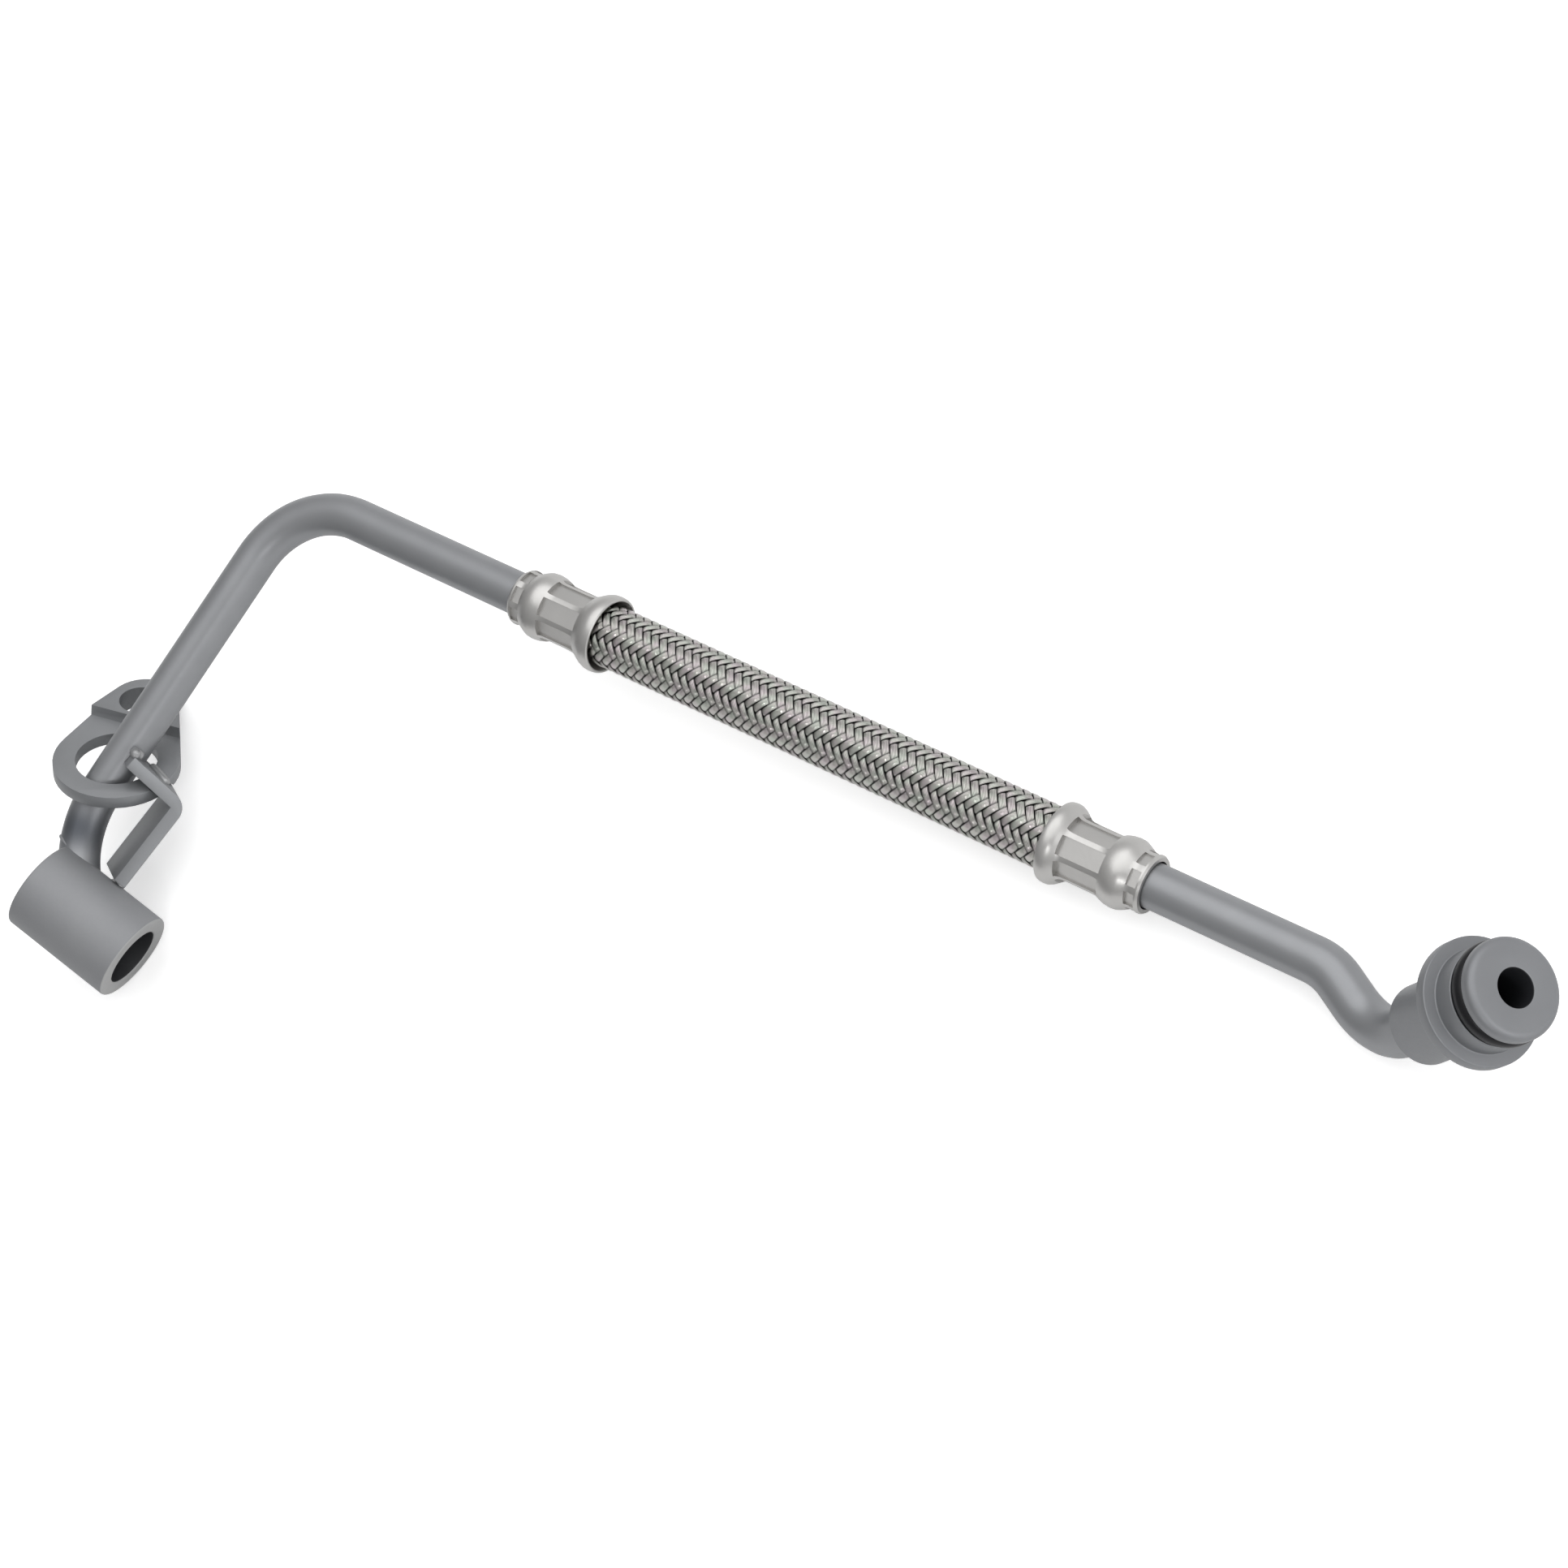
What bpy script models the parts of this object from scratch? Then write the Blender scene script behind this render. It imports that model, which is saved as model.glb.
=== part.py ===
# Turbocharger oil feed line: a braided hose crimped between two bent steel tubes,
# with a bolt sleeve and a stamped bracket on one end and a push-in plug on the other.
#
# The line is modelled in its own frame: +X runs along the hose from left to right,
# with zero at the mouth of the left ferrule. Everything left of the hose is placed from
# that mouth, everything right of it from the mouth of the right ferrule. At the end the
# parent empty is tilted and lowered so that the line lies on the ground as it rests.

import math

import bmesh
import bpy
from mathutils import Matrix, Vector

# Gap kept between metal pieces that fit into or lie on each other
CLEARANCE = 0.0003

# Steel tubes
TUBE_OUTER_RADIUS = 0.0040
TUBE_WALL = 0.0010
TUBE_SIDES = 18
BEND_STEP = math.radians(8.0)

# Left tube: straight run from the hose, then two bends down to the bolt sleeve
LEFT_STRAIGHT = 0.0764
LEFT_LEG = Vector((-0.01380, -0.07573, -0.00434))
LEFT_FOOT = Vector((0.01106, -0.01452, 0.00023))
LEFT_UPPER_BEND_RADIUS = 0.018
LEFT_LOWER_BEND_RADIUS = 0.020

# Right tube: straight run from the hose, then an S up into the plug
RIGHT_STRAIGHT = 0.05264
RIGHT_LEG = Vector((0.01281, -0.00734, -0.00147))
RIGHT_PLUG_LEG = 0.0133
RIGHT_FIRST_BEND_RADIUS = 0.011
RIGHT_SECOND_BEND_RADIUS = 0.0105

# Bolt sleeve
SLEEVE_RADIUS = 0.0090
SLEEVE_BORE_RADIUS = 0.00585
SLEEVE_LENGTH = 0.0233
SLEEVE_EDGE_BREAK = 0.0004
SLEEVE_AXIS = Vector((0.9297, -0.1786, -0.3221)).normalized()
SLEEVE_PAST_TUBE = 0.0012

# Bracket plate: a ring with a raised tab
PLATE_THICKNESS = 0.0025
PLATE_NORMAL = Vector((0.0474, 0.6854, 0.7267)).normalized()
PLATE_ACROSS = Vector((0.7503, 0.4558, -0.4788))
PLATE_FROM_LOWER_BEND = 0.01476
TUBE_IN_RING = Vector((0.00069, -0.00159))
RING_RADIUS = 0.0121
RING_HOLE_RADIUS = 0.00785
TAB_TIP_RADIUS = 0.0066
TAB_TIP_CENTRE = Vector((0.0043, 0.0158))
TAB_SHOULDER = Vector((-0.0058, 0.0139))
TAB_RISE = 0.0022
TAB_FOLD_DISTANCE = 0.0104
TAB_FOLD_DIRECTION = Vector((0.391, 0.920)).normalized()
TAB_FOLD_WIDTH = 0.0003
TAB_BACK_SLOPE = 0.0026
BOLT_HOLE_RADIUS = 0.0041
BOLT_HOLE_CENTRE = Vector((0.0036, 0.0156))

# Bracket strap: flat bar bent to an L
STRAP_THICKNESS = 0.0025
STRAP_WIDTH = 0.0100
STRAP_WIDTH_DIRECTION = Vector((-0.796, 0.173, -0.582)).normalized()
STRAP_CORNER_FROM_LOWER_BEND = Vector((0.01772, 0.01158, 0.00022))
STRAP_UPPER_DIRECTION = Vector((-0.828, 0.260, 0.479))
STRAP_LOWER_DIRECTION = Vector((-0.193, -0.980, 0.042))
STRAP_UPPER_LENGTH = 0.0113
STRAP_LOWER_LENGTH = 0.0174
STRAP_OUTER_BEND_RADIUS = 0.0032

# Braided hose
HOSE_FREE_LENGTH = 0.0964
BRAID_CREST_RADIUS = 0.00575
BRAID_GROOVE_RADIUS = 0.00535
BRAID_CROSSING_RADIUS = 0.00540
BRAID_INNER_RADIUS = 0.00505
BRAID_CRIMPED_RADIUS = 0.00445
BRAID_CRIMPED_WALL = 0.0004
BRAID_CARRIERS = 28
BRAID_LEAD = 0.0261
BRAID_ROWS = 2
BRAID_START_TURN = math.radians(1.5)
LINER_BORE_RADIUS = 0.0031

# Crimped ferrules: a flared mouth, then a waist, a swell and a collar on the tube.
# The flares are measured from the mouth, the rest from the start of the waist.
LEFT_FLARE = 0.0054
RIGHT_FLARE = 0.0042
FERRULE_MOUTH_RADIUS = 0.00725
FERRULE_MOUTH_BORE = 0.0066
FERRULE_WAIST_RADIUS = 0.00565
FERRULE_SWELL_RADIUS = 0.00635
FERRULE_COLLAR_RADIUS = 0.00520
WAIST_LENGTH = 0.0069
SWELL_FROM_WAIST = 0.0096
COLLAR_FROM_WAIST = 0.0124
COLLAR_END_FROM_WAIST = 0.0162
CRIMP_BEFORE_WAIST = 0.0009
HOSE_END_FROM_WAIST = 0.0068
FERRULE_SIDES = 24
CRIMP_JAWS = 8
CRIMP_FLAT_RADIUS = 0.00532
COLLAR_FLAT_RADIUS = 0.00500
COLLAR_FLAT_LENGTH = 0.0020

# Nipples inside the ferrules
NIPPLE_STEM_RADIUS = 0.0028
NIPPLE_BORE_RADIUS = 0.0020
NIPPLE_SHOULDER_RADIUS = 0.0039
NIPPLE_SHOULDER_LENGTH = 0.0012
NIPPLE_TAIL_LENGTH = 0.0060
NIPPLE_BARBS = 4
NIPPLE_BARB_DEPTH = 0.0003

# Plug, measured from its front face
PLUG_AXIS = Vector((0.6153, 0.3553, 0.7037)).normalized()
PLUG_LENGTH = 0.02596
PLUG_LAND_RADIUS = 0.00815
PLUG_NOSE_RADIUS = 0.0068
PLUG_NOSE_LENGTH = 0.0013
PLUG_BORE_RADIUS = 0.0031
GROOVE_START = 0.0023
GROOVE_END = 0.0054
GROOVE_RADIUS = 0.0061
FLANGE_RADIUS = 0.0103
FLANGE_START = 0.0094
FLANGE_END = 0.0116
NECK_RADIUS = 0.0065
TUBE_SOCKET_DEPTH = 0.0060
EDGE_BREAK = 0.0003
O_RING_CORD_RADIUS = 0.0011
BRAZE_SIZE = 0.0011

# Weld beads between the tube, the sleeve, the plate and the strap. Each of the strap's
# welds starts and ends at a distance across the strap's width from its front edge.
SLEEVE_BRAZE_RADIUS = 0.00040
WELD_RADIUS = 0.00070
WELD_SIDES = 8
WELD_END_TAPER = 0.6
PLATE_WELD_START = 0.0030
PLATE_WELD_END = 0.0066
SLEEVE_WELD_START = 0.0045
SLEEVE_WELD_END = 0.0092
TUBE_WELD_START = 0.0004
TUBE_WELD_END = 0.0032
WELD_STATIONS = 8

# How the line lies on the ground
REST_PITCH = math.radians(3.2)
REST_ROLL = math.radians(0.6)

ROOT_NAME = "feed_line_frame"

# Places worked out from the sizes above
ALONG = Vector((1.0, 0.0, 0.0))
LEFT_MOUTH = Vector((0.0, 0.0, 0.0))
RIGHT_MOUTH = ALONG * HOSE_FREE_LENGTH
UPPER_BEND = LEFT_MOUTH - ALONG * LEFT_STRAIGHT
LOWER_BEND = UPPER_BEND + LEFT_LEG
FOOT_ON_SLEEVE = LOWER_BEND + LEFT_FOOT
SLEEVE_CENTRE = FOOT_ON_SLEEVE + SLEEVE_AXIS * SLEEVE_PAST_TUBE
FIRST_BEND = RIGHT_MOUTH + ALONG * RIGHT_STRAIGHT
SECOND_BEND = FIRST_BEND + RIGHT_LEG
NECK_END = SECOND_BEND + PLUG_AXIS * RIGHT_PLUG_LEG
PLUG_FACE = NECK_END + PLUG_AXIS * PLUG_LENGTH
TUBE_BORE_RADIUS = TUBE_OUTER_RADIUS - TUBE_WALL
SHOULDER_FROM_WAIST = HOSE_END_FROM_WAIST + CLEARANCE
TUBE_FROM_WAIST = SHOULDER_FROM_WAIST + NIPPLE_SHOULDER_LENGTH + CLEARANCE


# Scene and materials

def clear_scene():
    for old in list(bpy.data.objects):
        bpy.data.objects.remove(old, do_unlink=True)


def make_material(name, colour, roughness, metallic):
    material = bpy.data.materials.new(name)
    material.use_nodes = True
    shader = material.node_tree.nodes["Principled BSDF"]
    shader.inputs["Base Color"].default_value = (*colour, 1.0)
    shader.inputs["Roughness"].default_value = roughness
    shader.inputs["Metallic"].default_value = metallic
    return material


def add_object(name, bm, material, parent, smooth_angle=math.radians(35.0)):
    mesh = bpy.data.meshes.new(name)
    bmesh.ops.recalc_face_normals(bm, faces=bm.faces)
    bm.to_mesh(mesh)
    bm.free()
    mesh.shade_smooth()
    mesh.set_sharp_from_angle(angle=smooth_angle)
    if material is not None:
        mesh.materials.append(material)
    obj = bpy.data.objects.new(name, mesh)
    bpy.context.scene.collection.objects.link(obj)
    obj.parent = parent
    return obj


def turn_along(obj, origin, axis):
    """Put a turned piece, made about its own X, on an axis of the line."""
    obj.rotation_mode = "QUATERNION"
    obj.rotation_quaternion = ALONG.rotation_difference(axis)
    obj.location = origin
    return obj


# Shapes

def turned_mesh(profile, sides):
    """Spin a closed outline of (along, radius) points about X."""
    bm = bmesh.new()
    verts = [bm.verts.new((along, radius, 0.0)) for along, radius in profile]
    edges = [bm.edges.new((a, b)) for a, b in zip(verts, verts[1:] + verts[:1])]
    bmesh.ops.spin(
        bm, geom=verts + edges, cent=(0.0, 0.0, 0.0), axis=ALONG,
        angle=2.0 * math.pi, steps=sides, use_merge=True,
    )
    return bm


def filleted_route(corners, radii):
    """Centre line through the corners, each inner corner rounded to its bend radius."""
    points = [corners[0].copy()]
    for before, corner, after, radius in zip(corners, corners[1:], corners[2:], radii):
        back = (before - corner).normalized()
        on = (after - corner).normalized()
        turn = math.pi - back.angle(on)
        tangent = radius * math.tan(turn / 2.0)
        centre = corner + (back + on).normalized() * (radius / math.cos(turn / 2.0))
        start = corner + back * tangent - centre
        axis = start.cross(corner + on * tangent - centre).normalized()
        steps = max(2, math.ceil(turn / BEND_STEP))
        for step in range(steps + 1):
            swing = Matrix.Rotation(turn * step / steps, 3, axis)
            points.append(centre + swing @ start)
    points.append(corners[-1].copy())
    return points


def route_frames(points):
    """Each point with two square directions, carried along without twist."""
    tangents = []
    for index in range(len(points)):
        ahead = points[min(index + 1, len(points) - 1)]
        behind = points[max(index - 1, 0)]
        tangents.append((ahead - behind).normalized())
    side = tangents[0].orthogonal().normalized()
    frames = []
    for index, tangent in enumerate(tangents):
        if index > 0:
            side = tangents[index - 1].rotation_difference(tangent) @ side
        side = (side - tangent * side.dot(tangent)).normalized()
        frames.append((points[index], side, tangent.cross(side)))
    return frames


def swept_ring(bm, frame, radius, sides):
    centre, side, up = frame
    ring = []
    for step in range(sides):
        angle = 2.0 * math.pi * step / sides
        ring.append(bm.verts.new(centre + (side * math.cos(angle) + up * math.sin(angle)) * radius))
    return ring


def skin_rings(bm, rings, closed):
    pairs = list(zip(rings, rings[1:]))
    if closed:
        pairs.append((rings[-1], rings[0]))
    for first, second in pairs:
        count = len(first)
        for step in range(count):
            nxt = (step + 1) % count
            bm.faces.new((first[step], first[nxt], second[nxt], second[step]))


def tube_mesh(points, outer_radius, bore_radius):
    """Hollow tube: out along the skin, over the end and back through the bore."""
    bm = bmesh.new()
    frames = route_frames(points)
    rings = [swept_ring(bm, frame, outer_radius, TUBE_SIDES) for frame in frames]
    rings += [swept_ring(bm, frame, bore_radius, TUBE_SIDES) for frame in reversed(frames)]
    skin_rings(bm, rings, closed=True)
    return bm


def rod_mesh(points, radius):
    """Solid rod along a route, used to cut clearance for a tube."""
    bm = bmesh.new()
    frames = route_frames(points)
    rings = [swept_ring(bm, frame, radius, 2 * TUBE_SIDES) for frame in frames]
    skin_rings(bm, rings, closed=False)
    bm.faces.new(rings[0])
    bm.faces.new(rings[-1])
    return bm


def prism_mesh(outline, depth):
    """Face on the given points, pushed out along a vector."""
    bm = bmesh.new()
    face = bm.faces.new([bm.verts.new(point) for point in outline])
    pushed = bmesh.ops.extrude_face_region(bm, geom=[face])["geom"]
    verts = [item for item in pushed if isinstance(item, bmesh.types.BMVert)]
    bmesh.ops.translate(bm, verts=verts, vec=depth)
    return bm


def make_cutter(name, bm, parent):
    cutter = add_object(name, bm, None, parent)
    cutter.hide_render = True
    cutter.display_type = "WIRE"
    return cutter


def cut_with(obj, cutter):
    modifier = obj.modifiers.new("cut_" + cutter.name, "BOOLEAN")
    modifier.operation = "DIFFERENCE"
    modifier.solver = "EXACT"
    modifier.object = cutter


# Tubes

def left_route():
    end = LEFT_MOUTH - ALONG * (LEFT_FLARE + TUBE_FROM_WAIST)
    corners = [FOOT_ON_SLEEVE, LOWER_BEND, UPPER_BEND, end]
    return filleted_route(corners, [LEFT_LOWER_BEND_RADIUS, LEFT_UPPER_BEND_RADIUS])


def right_route():
    start = RIGHT_MOUTH + ALONG * (RIGHT_FLARE + TUBE_FROM_WAIST)
    end = NECK_END + PLUG_AXIS * TUBE_SOCKET_DEPTH
    corners = [start, FIRST_BEND, SECOND_BEND, end]
    return filleted_route(corners, [RIGHT_FIRST_BEND_RADIUS, RIGHT_SECOND_BEND_RADIUS])


def make_left_tube(parent, steel):
    tube = add_object("left_tube", tube_mesh(left_route(), TUBE_OUTER_RADIUS, TUBE_BORE_RADIUS), steel, parent)
    reach = SLEEVE_LENGTH / 2.0
    radius = SLEEVE_BORE_RADIUS + CLEARANCE
    profile = [(-reach, 0.0), (-reach, radius), (reach, radius), (reach, 0.0)]
    trim = make_cutter("cut_tube_at_sleeve_bore", turned_solid(profile, 64), parent)
    turn_along(trim, SLEEVE_CENTRE, SLEEVE_AXIS)
    cut_with(tube, trim)


def turned_solid(profile, sides):
    """Spin an open outline that starts and ends on the axis."""
    bm = bmesh.new()
    verts = [bm.verts.new((along, radius, 0.0)) for along, radius in profile]
    edges = [bm.edges.new((a, b)) for a, b in zip(verts, verts[1:])]
    bmesh.ops.spin(
        bm, geom=verts + edges, cent=(0.0, 0.0, 0.0), axis=ALONG,
        angle=2.0 * math.pi, steps=sides, use_merge=True,
    )
    bmesh.ops.remove_doubles(bm, verts=bm.verts, dist=1e-7)
    return bm


def make_right_tube(parent, steel):
    add_object("right_tube", tube_mesh(right_route(), TUBE_OUTER_RADIUS, TUBE_BORE_RADIUS), steel, parent)


# Bolt sleeve

def make_sleeve(parent, steel):
    half = SLEEVE_LENGTH / 2.0
    edge = SLEEVE_EDGE_BREAK
    profile = [
        (-half, SLEEVE_BORE_RADIUS + edge), (-half, SLEEVE_RADIUS - edge),
        (-half + edge, SLEEVE_RADIUS), (half - edge, SLEEVE_RADIUS),
        (half, SLEEVE_RADIUS - edge), (half, SLEEVE_BORE_RADIUS + edge),
        (half - edge, SLEEVE_BORE_RADIUS), (-half + edge, SLEEVE_BORE_RADIUS),
    ]
    sleeve = add_object("banjo_sleeve", turned_mesh(profile, 40), steel, parent)
    turn_along(sleeve, SLEEVE_CENTRE, SLEEVE_AXIS)
    inward = -LEFT_FOOT.normalized()
    corners = [FOOT_ON_SLEEVE, FOOT_ON_SLEEVE + inward * SLEEVE_LENGTH]
    hole = make_cutter("cut_feed_hole", rod_mesh(corners, TUBE_OUTER_RADIUS + CLEARANCE), parent)
    cut_with(sleeve, hole)


# Bracket

def plate_frame():
    across = (PLATE_ACROSS - PLATE_NORMAL * PLATE_ACROSS.dot(PLATE_NORMAL)).normalized()
    up = PLATE_NORMAL.cross(across)
    crossing = LOWER_BEND - LEFT_LEG.normalized() * PLATE_FROM_LOWER_BEND
    centre = crossing - across * TUBE_IN_RING.x - up * TUBE_IN_RING.y
    frame = Matrix((across, up, PLATE_NORMAL)).transposed().to_4x4()
    frame.translation = centre
    return frame


def arc_points(centre, radius, start, end, steps):
    points = []
    for step in range(steps + 1):
        angle = start + (end - start) * step / steps
        points.append(Vector((centre.x + radius * math.cos(angle), centre.y + radius * math.sin(angle))))
    return points


def tangent_angle(point, centre, radius, side):
    """Angle on a circle where the line from an outside point touches it."""
    away = point - centre
    return math.atan2(away.y, away.x) + side * math.acos(min(1.0, radius / away.length))


def plate_outline():
    middle = Vector((0.0, 0.0))
    ring_left = tangent_angle(TAB_SHOULDER, middle, RING_RADIUS, 1.0)
    tip_left = tangent_angle(TAB_SHOULDER, TAB_TIP_CENTRE, TAB_TIP_RADIUS, -1.0)
    between = TAB_TIP_CENTRE.length
    lean = math.asin((RING_RADIUS - TAB_TIP_RADIUS) / between)
    right = math.atan2(TAB_TIP_CENTRE.y, TAB_TIP_CENTRE.x) - math.pi / 2.0 + lean
    ring = arc_points(middle, RING_RADIUS, ring_left, right + 2.0 * math.pi, 26)
    tip = arc_points(TAB_TIP_CENTRE, TAB_TIP_RADIUS, right, tip_left % (2.0 * math.pi), 12)
    return ring + tip + [TAB_SHOULDER]


def offset_tab(bm):
    """Raise the tab: a sharp step on the front, a ramp on the back."""
    stations = (0.0, TAB_FOLD_WIDTH, TAB_BACK_SLOPE)
    direction = TAB_FOLD_DIRECTION.to_3d()
    for station in stations:
        bmesh.ops.bisect_plane(
            bm, geom=bm.verts[:] + bm.edges[:] + bm.faces[:], dist=1e-6,
            plane_co=direction * (TAB_FOLD_DISTANCE + station), plane_no=direction,
        )
    for vert in bm.verts:
        past = vert.co.xy.dot(TAB_FOLD_DIRECTION) - TAB_FOLD_DISTANCE
        ramp = TAB_FOLD_WIDTH if vert.co.z > -PLATE_THICKNESS / 2.0 else TAB_BACK_SLOPE
        vert.co.z += TAB_RISE * min(1.0, max(0.0, past / ramp))


def drill(name, centre, radius, frame, parent):
    depth = PLATE_THICKNESS + TAB_RISE
    profile = [(-depth * 2.0, 0.0), (-depth * 2.0, radius), (depth * 2.0, radius), (depth * 2.0, 0.0)]
    cutter = make_cutter(name, turned_solid(profile, 40), parent)
    return turn_along(cutter, frame @ centre.to_3d(), PLATE_NORMAL)


def make_plate(parent, steel):
    frame = plate_frame()
    outline = [point.to_3d() for point in plate_outline()]
    bm = prism_mesh(outline, Vector((0.0, 0.0, -PLATE_THICKNESS)))
    offset_tab(bm)
    plate = add_object("bracket_ring_plate", bm, steel, parent, math.radians(25.0))
    plate.rotation_mode = "QUATERNION"
    plate.rotation_quaternion = frame.to_quaternion()
    plate.location = frame.translation
    cut_with(plate, drill("cut_ring_hole", Vector((0.0, 0.0)), RING_HOLE_RADIUS, frame, parent))
    cut_with(plate, drill("cut_bolt_hole", BOLT_HOLE_CENTRE, BOLT_HOLE_RADIUS, frame, parent))
    tube_room = rod_mesh(left_route(), TUBE_OUTER_RADIUS + CLEARANCE)
    cut_with(plate, make_cutter("cut_plate_for_tube", tube_room, parent))
    notch_depth = strap_depth(CLEARANCE) + STRAP_WIDTH_DIRECTION * 2.0 * PLATE_THICKNESS
    strap_room = prism_mesh(strap_outline(CLEARANCE), notch_depth)
    cut_with(plate, make_cutter("cut_plate_for_strap", strap_room, parent))


def strap_directions():
    """The two legs and the way that each one's outer face looks."""
    upper = STRAP_UPPER_DIRECTION.normalized()
    lower = STRAP_LOWER_DIRECTION.normalized()
    face = upper.cross(lower).normalized()
    upper_out = face.cross(upper).normalized()
    lower_out = lower.cross(face).normalized()
    if upper_out.dot(lower) > 0.0:
        upper_out.negate()
    if lower_out.dot(upper) > 0.0:
        lower_out.negate()
    return upper, lower, upper_out, lower_out


def strap_outline(grow):
    """Side view of the L: the two legs, the sharp inner corner and the round outer one."""
    upper, lower, upper_out, lower_out = strap_directions()
    corner = LOWER_BEND + STRAP_CORNER_FROM_LOWER_BEND
    thick = STRAP_THICKNESS + grow
    half_turn = upper.angle(lower) / 2.0
    bisector = (upper + lower).normalized()
    inner = corner + bisector * (grow / math.sin(half_turn))
    outer = corner - bisector * (thick / math.sin(half_turn))
    upper_end = corner + upper * (STRAP_UPPER_LENGTH + grow)
    lower_end = corner + lower * (STRAP_LOWER_LENGTH + grow)
    rounded = filleted_route(
        [upper_end + upper_out * thick, outer, lower_end + lower_out * thick],
        [STRAP_OUTER_BEND_RADIUS + grow],
    )
    start = depth_start(grow)
    outline = rounded + [lower_end - lower_out * grow, inner, upper_end - upper_out * grow]
    return [point + start for point in outline]


def depth_start(grow):
    return -STRAP_WIDTH_DIRECTION * grow


def strap_depth(grow):
    return STRAP_WIDTH_DIRECTION * (STRAP_WIDTH + 2.0 * grow)


def make_strap(parent, steel):
    strap = add_object("bracket_strap", prism_mesh(strap_outline(0.0), strap_depth(0.0)), steel, parent)
    tube_room = rod_mesh(left_route(), TUBE_OUTER_RADIUS + CLEARANCE)
    cut_with(strap, make_cutter("cut_strap_for_tube", tube_room, parent))
    reach = SLEEVE_LENGTH
    radius = SLEEVE_RADIUS + CLEARANCE
    profile = [(-reach, 0.0), (-reach, radius), (reach, radius), (reach, 0.0)]
    sleeve_room = make_cutter("cut_strap_for_sleeve", turned_solid(profile, 64), parent)
    turn_along(sleeve_room, SLEEVE_CENTRE, SLEEVE_AXIS)
    cut_with(strap, sleeve_room)


# Weld beads

def from_sleeve_axis(point):
    away = point - SLEEVE_CENTRE
    return (away - SLEEVE_AXIS * away.dot(SLEEVE_AXIS)).length


def from_left_tube(point):
    """Distance from a point to the centre line of the left tube."""
    route = left_route()
    nearest = math.inf
    for start, end in zip(route, route[1:]):
        run = end - start
        share = min(1.0, max(0.0, (point - start).dot(run) / run.length_squared))
        nearest = min(nearest, (point - start - run * share).length)
    return nearest


def meet(near, far, distance, wanted):
    """Point between near and far where a distance passes the wanted one."""
    rising = distance(far) > distance(near)
    for _ in range(30):
        middle = near.lerp(far, 0.5)
        if (distance(middle) < wanted) == rising:
            near = middle
        else:
            far = middle
    return near


def bead_mesh(points, radius):
    """Round bead along a route, with both ends drawn in."""
    frames = route_frames(points)
    bm = bmesh.new()
    small = radius * WELD_END_TAPER
    drawn = (radius - small) * WELD_END_TAPER
    first, last = frames[0], frames[-1]
    start = first[0] - (points[1] - points[0]).normalized() * drawn
    end = last[0] + (points[-1] - points[-2]).normalized() * drawn
    rings = [swept_ring(bm, (start, first[1], first[2]), small, WELD_SIDES)]
    rings += [swept_ring(bm, frame, radius, WELD_SIDES) for frame in frames]
    rings.append(swept_ring(bm, (end, last[1], last[2]), small, WELD_SIDES))
    skin_rings(bm, rings, closed=False)
    bm.faces.new(rings[0])
    bm.faces.new(rings[-1])
    return bm


def make_sleeve_braze(parent, braze):
    """Bead that runs round the tube where its skin leaves the sleeve."""
    radius = SLEEVE_BRAZE_RADIUS
    reach = TUBE_OUTER_RADIUS + CLEARANCE + radius
    leaves_at = SLEEVE_RADIUS + CLEARANCE + radius
    frames = route_frames(left_route())
    bm = bmesh.new()
    rings = []
    for step in range(2 * TUBE_SIDES):
        angle = math.pi * step / TUBE_SIDES
        walk = [centre + (side * math.cos(angle) + up * math.sin(angle)) * reach for centre, side, up in frames]
        index = next(n for n, place in enumerate(walk) if n > 0 and from_sleeve_axis(place) > leaves_at)
        centre = meet(walk[index - 1], walk[index], from_sleeve_axis, leaves_at)
        along = (walk[index] - walk[index - 1]).normalized()
        nearest = frames[index][0]
        out = centre - nearest
        out = (out - along * out.dot(along)).normalized()
        rings.append(swept_ring(bm, (centre, out, along), radius, WELD_SIDES))
    skin_rings(bm, rings, closed=True)
    bead = add_object("tube_sleeve_braze", bm, braze, parent)
    strap_room = prism_mesh(strap_outline(CLEARANCE), strap_depth(CLEARANCE))
    cut_with(bead, make_cutter("cut_braze_for_strap", strap_room, parent))


def strap_stations(out, start, end):
    """Places across the strap's width, one bead radius and its gap outside a face."""
    corner = LOWER_BEND + STRAP_CORNER_FROM_LOWER_BEND
    face = corner + out * (STRAP_THICKNESS + CLEARANCE + WELD_RADIUS)
    places = []
    for station in range(WELD_STATIONS + 1):
        across = start + (end - start) * station / WELD_STATIONS
        places.append(face + STRAP_WIDTH_DIRECTION * across)
    return places


def make_sleeve_weld(parent, braze):
    _, lower, _, lower_out = strap_directions()
    wanted = SLEEVE_RADIUS + CLEARANCE + WELD_RADIUS
    places = strap_stations(lower_out, SLEEVE_WELD_START, SLEEVE_WELD_END)
    points = [meet(place, place + lower * SLEEVE_LENGTH, from_sleeve_axis, wanted) for place in places]
    add_object("strap_sleeve_weld", bead_mesh(points, WELD_RADIUS), braze, parent)


def make_tube_weld(parent, braze):
    upper, _, upper_out, _ = strap_directions()
    wanted = TUBE_OUTER_RADIUS + CLEARANCE + WELD_RADIUS
    places = strap_stations(upper_out, TUBE_WELD_START, TUBE_WELD_END)
    points = [meet(place, place + upper * STRAP_UPPER_LENGTH, from_left_tube, wanted) for place in places]
    add_object("strap_tube_weld", bead_mesh(points, WELD_RADIUS), braze, parent)


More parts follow.
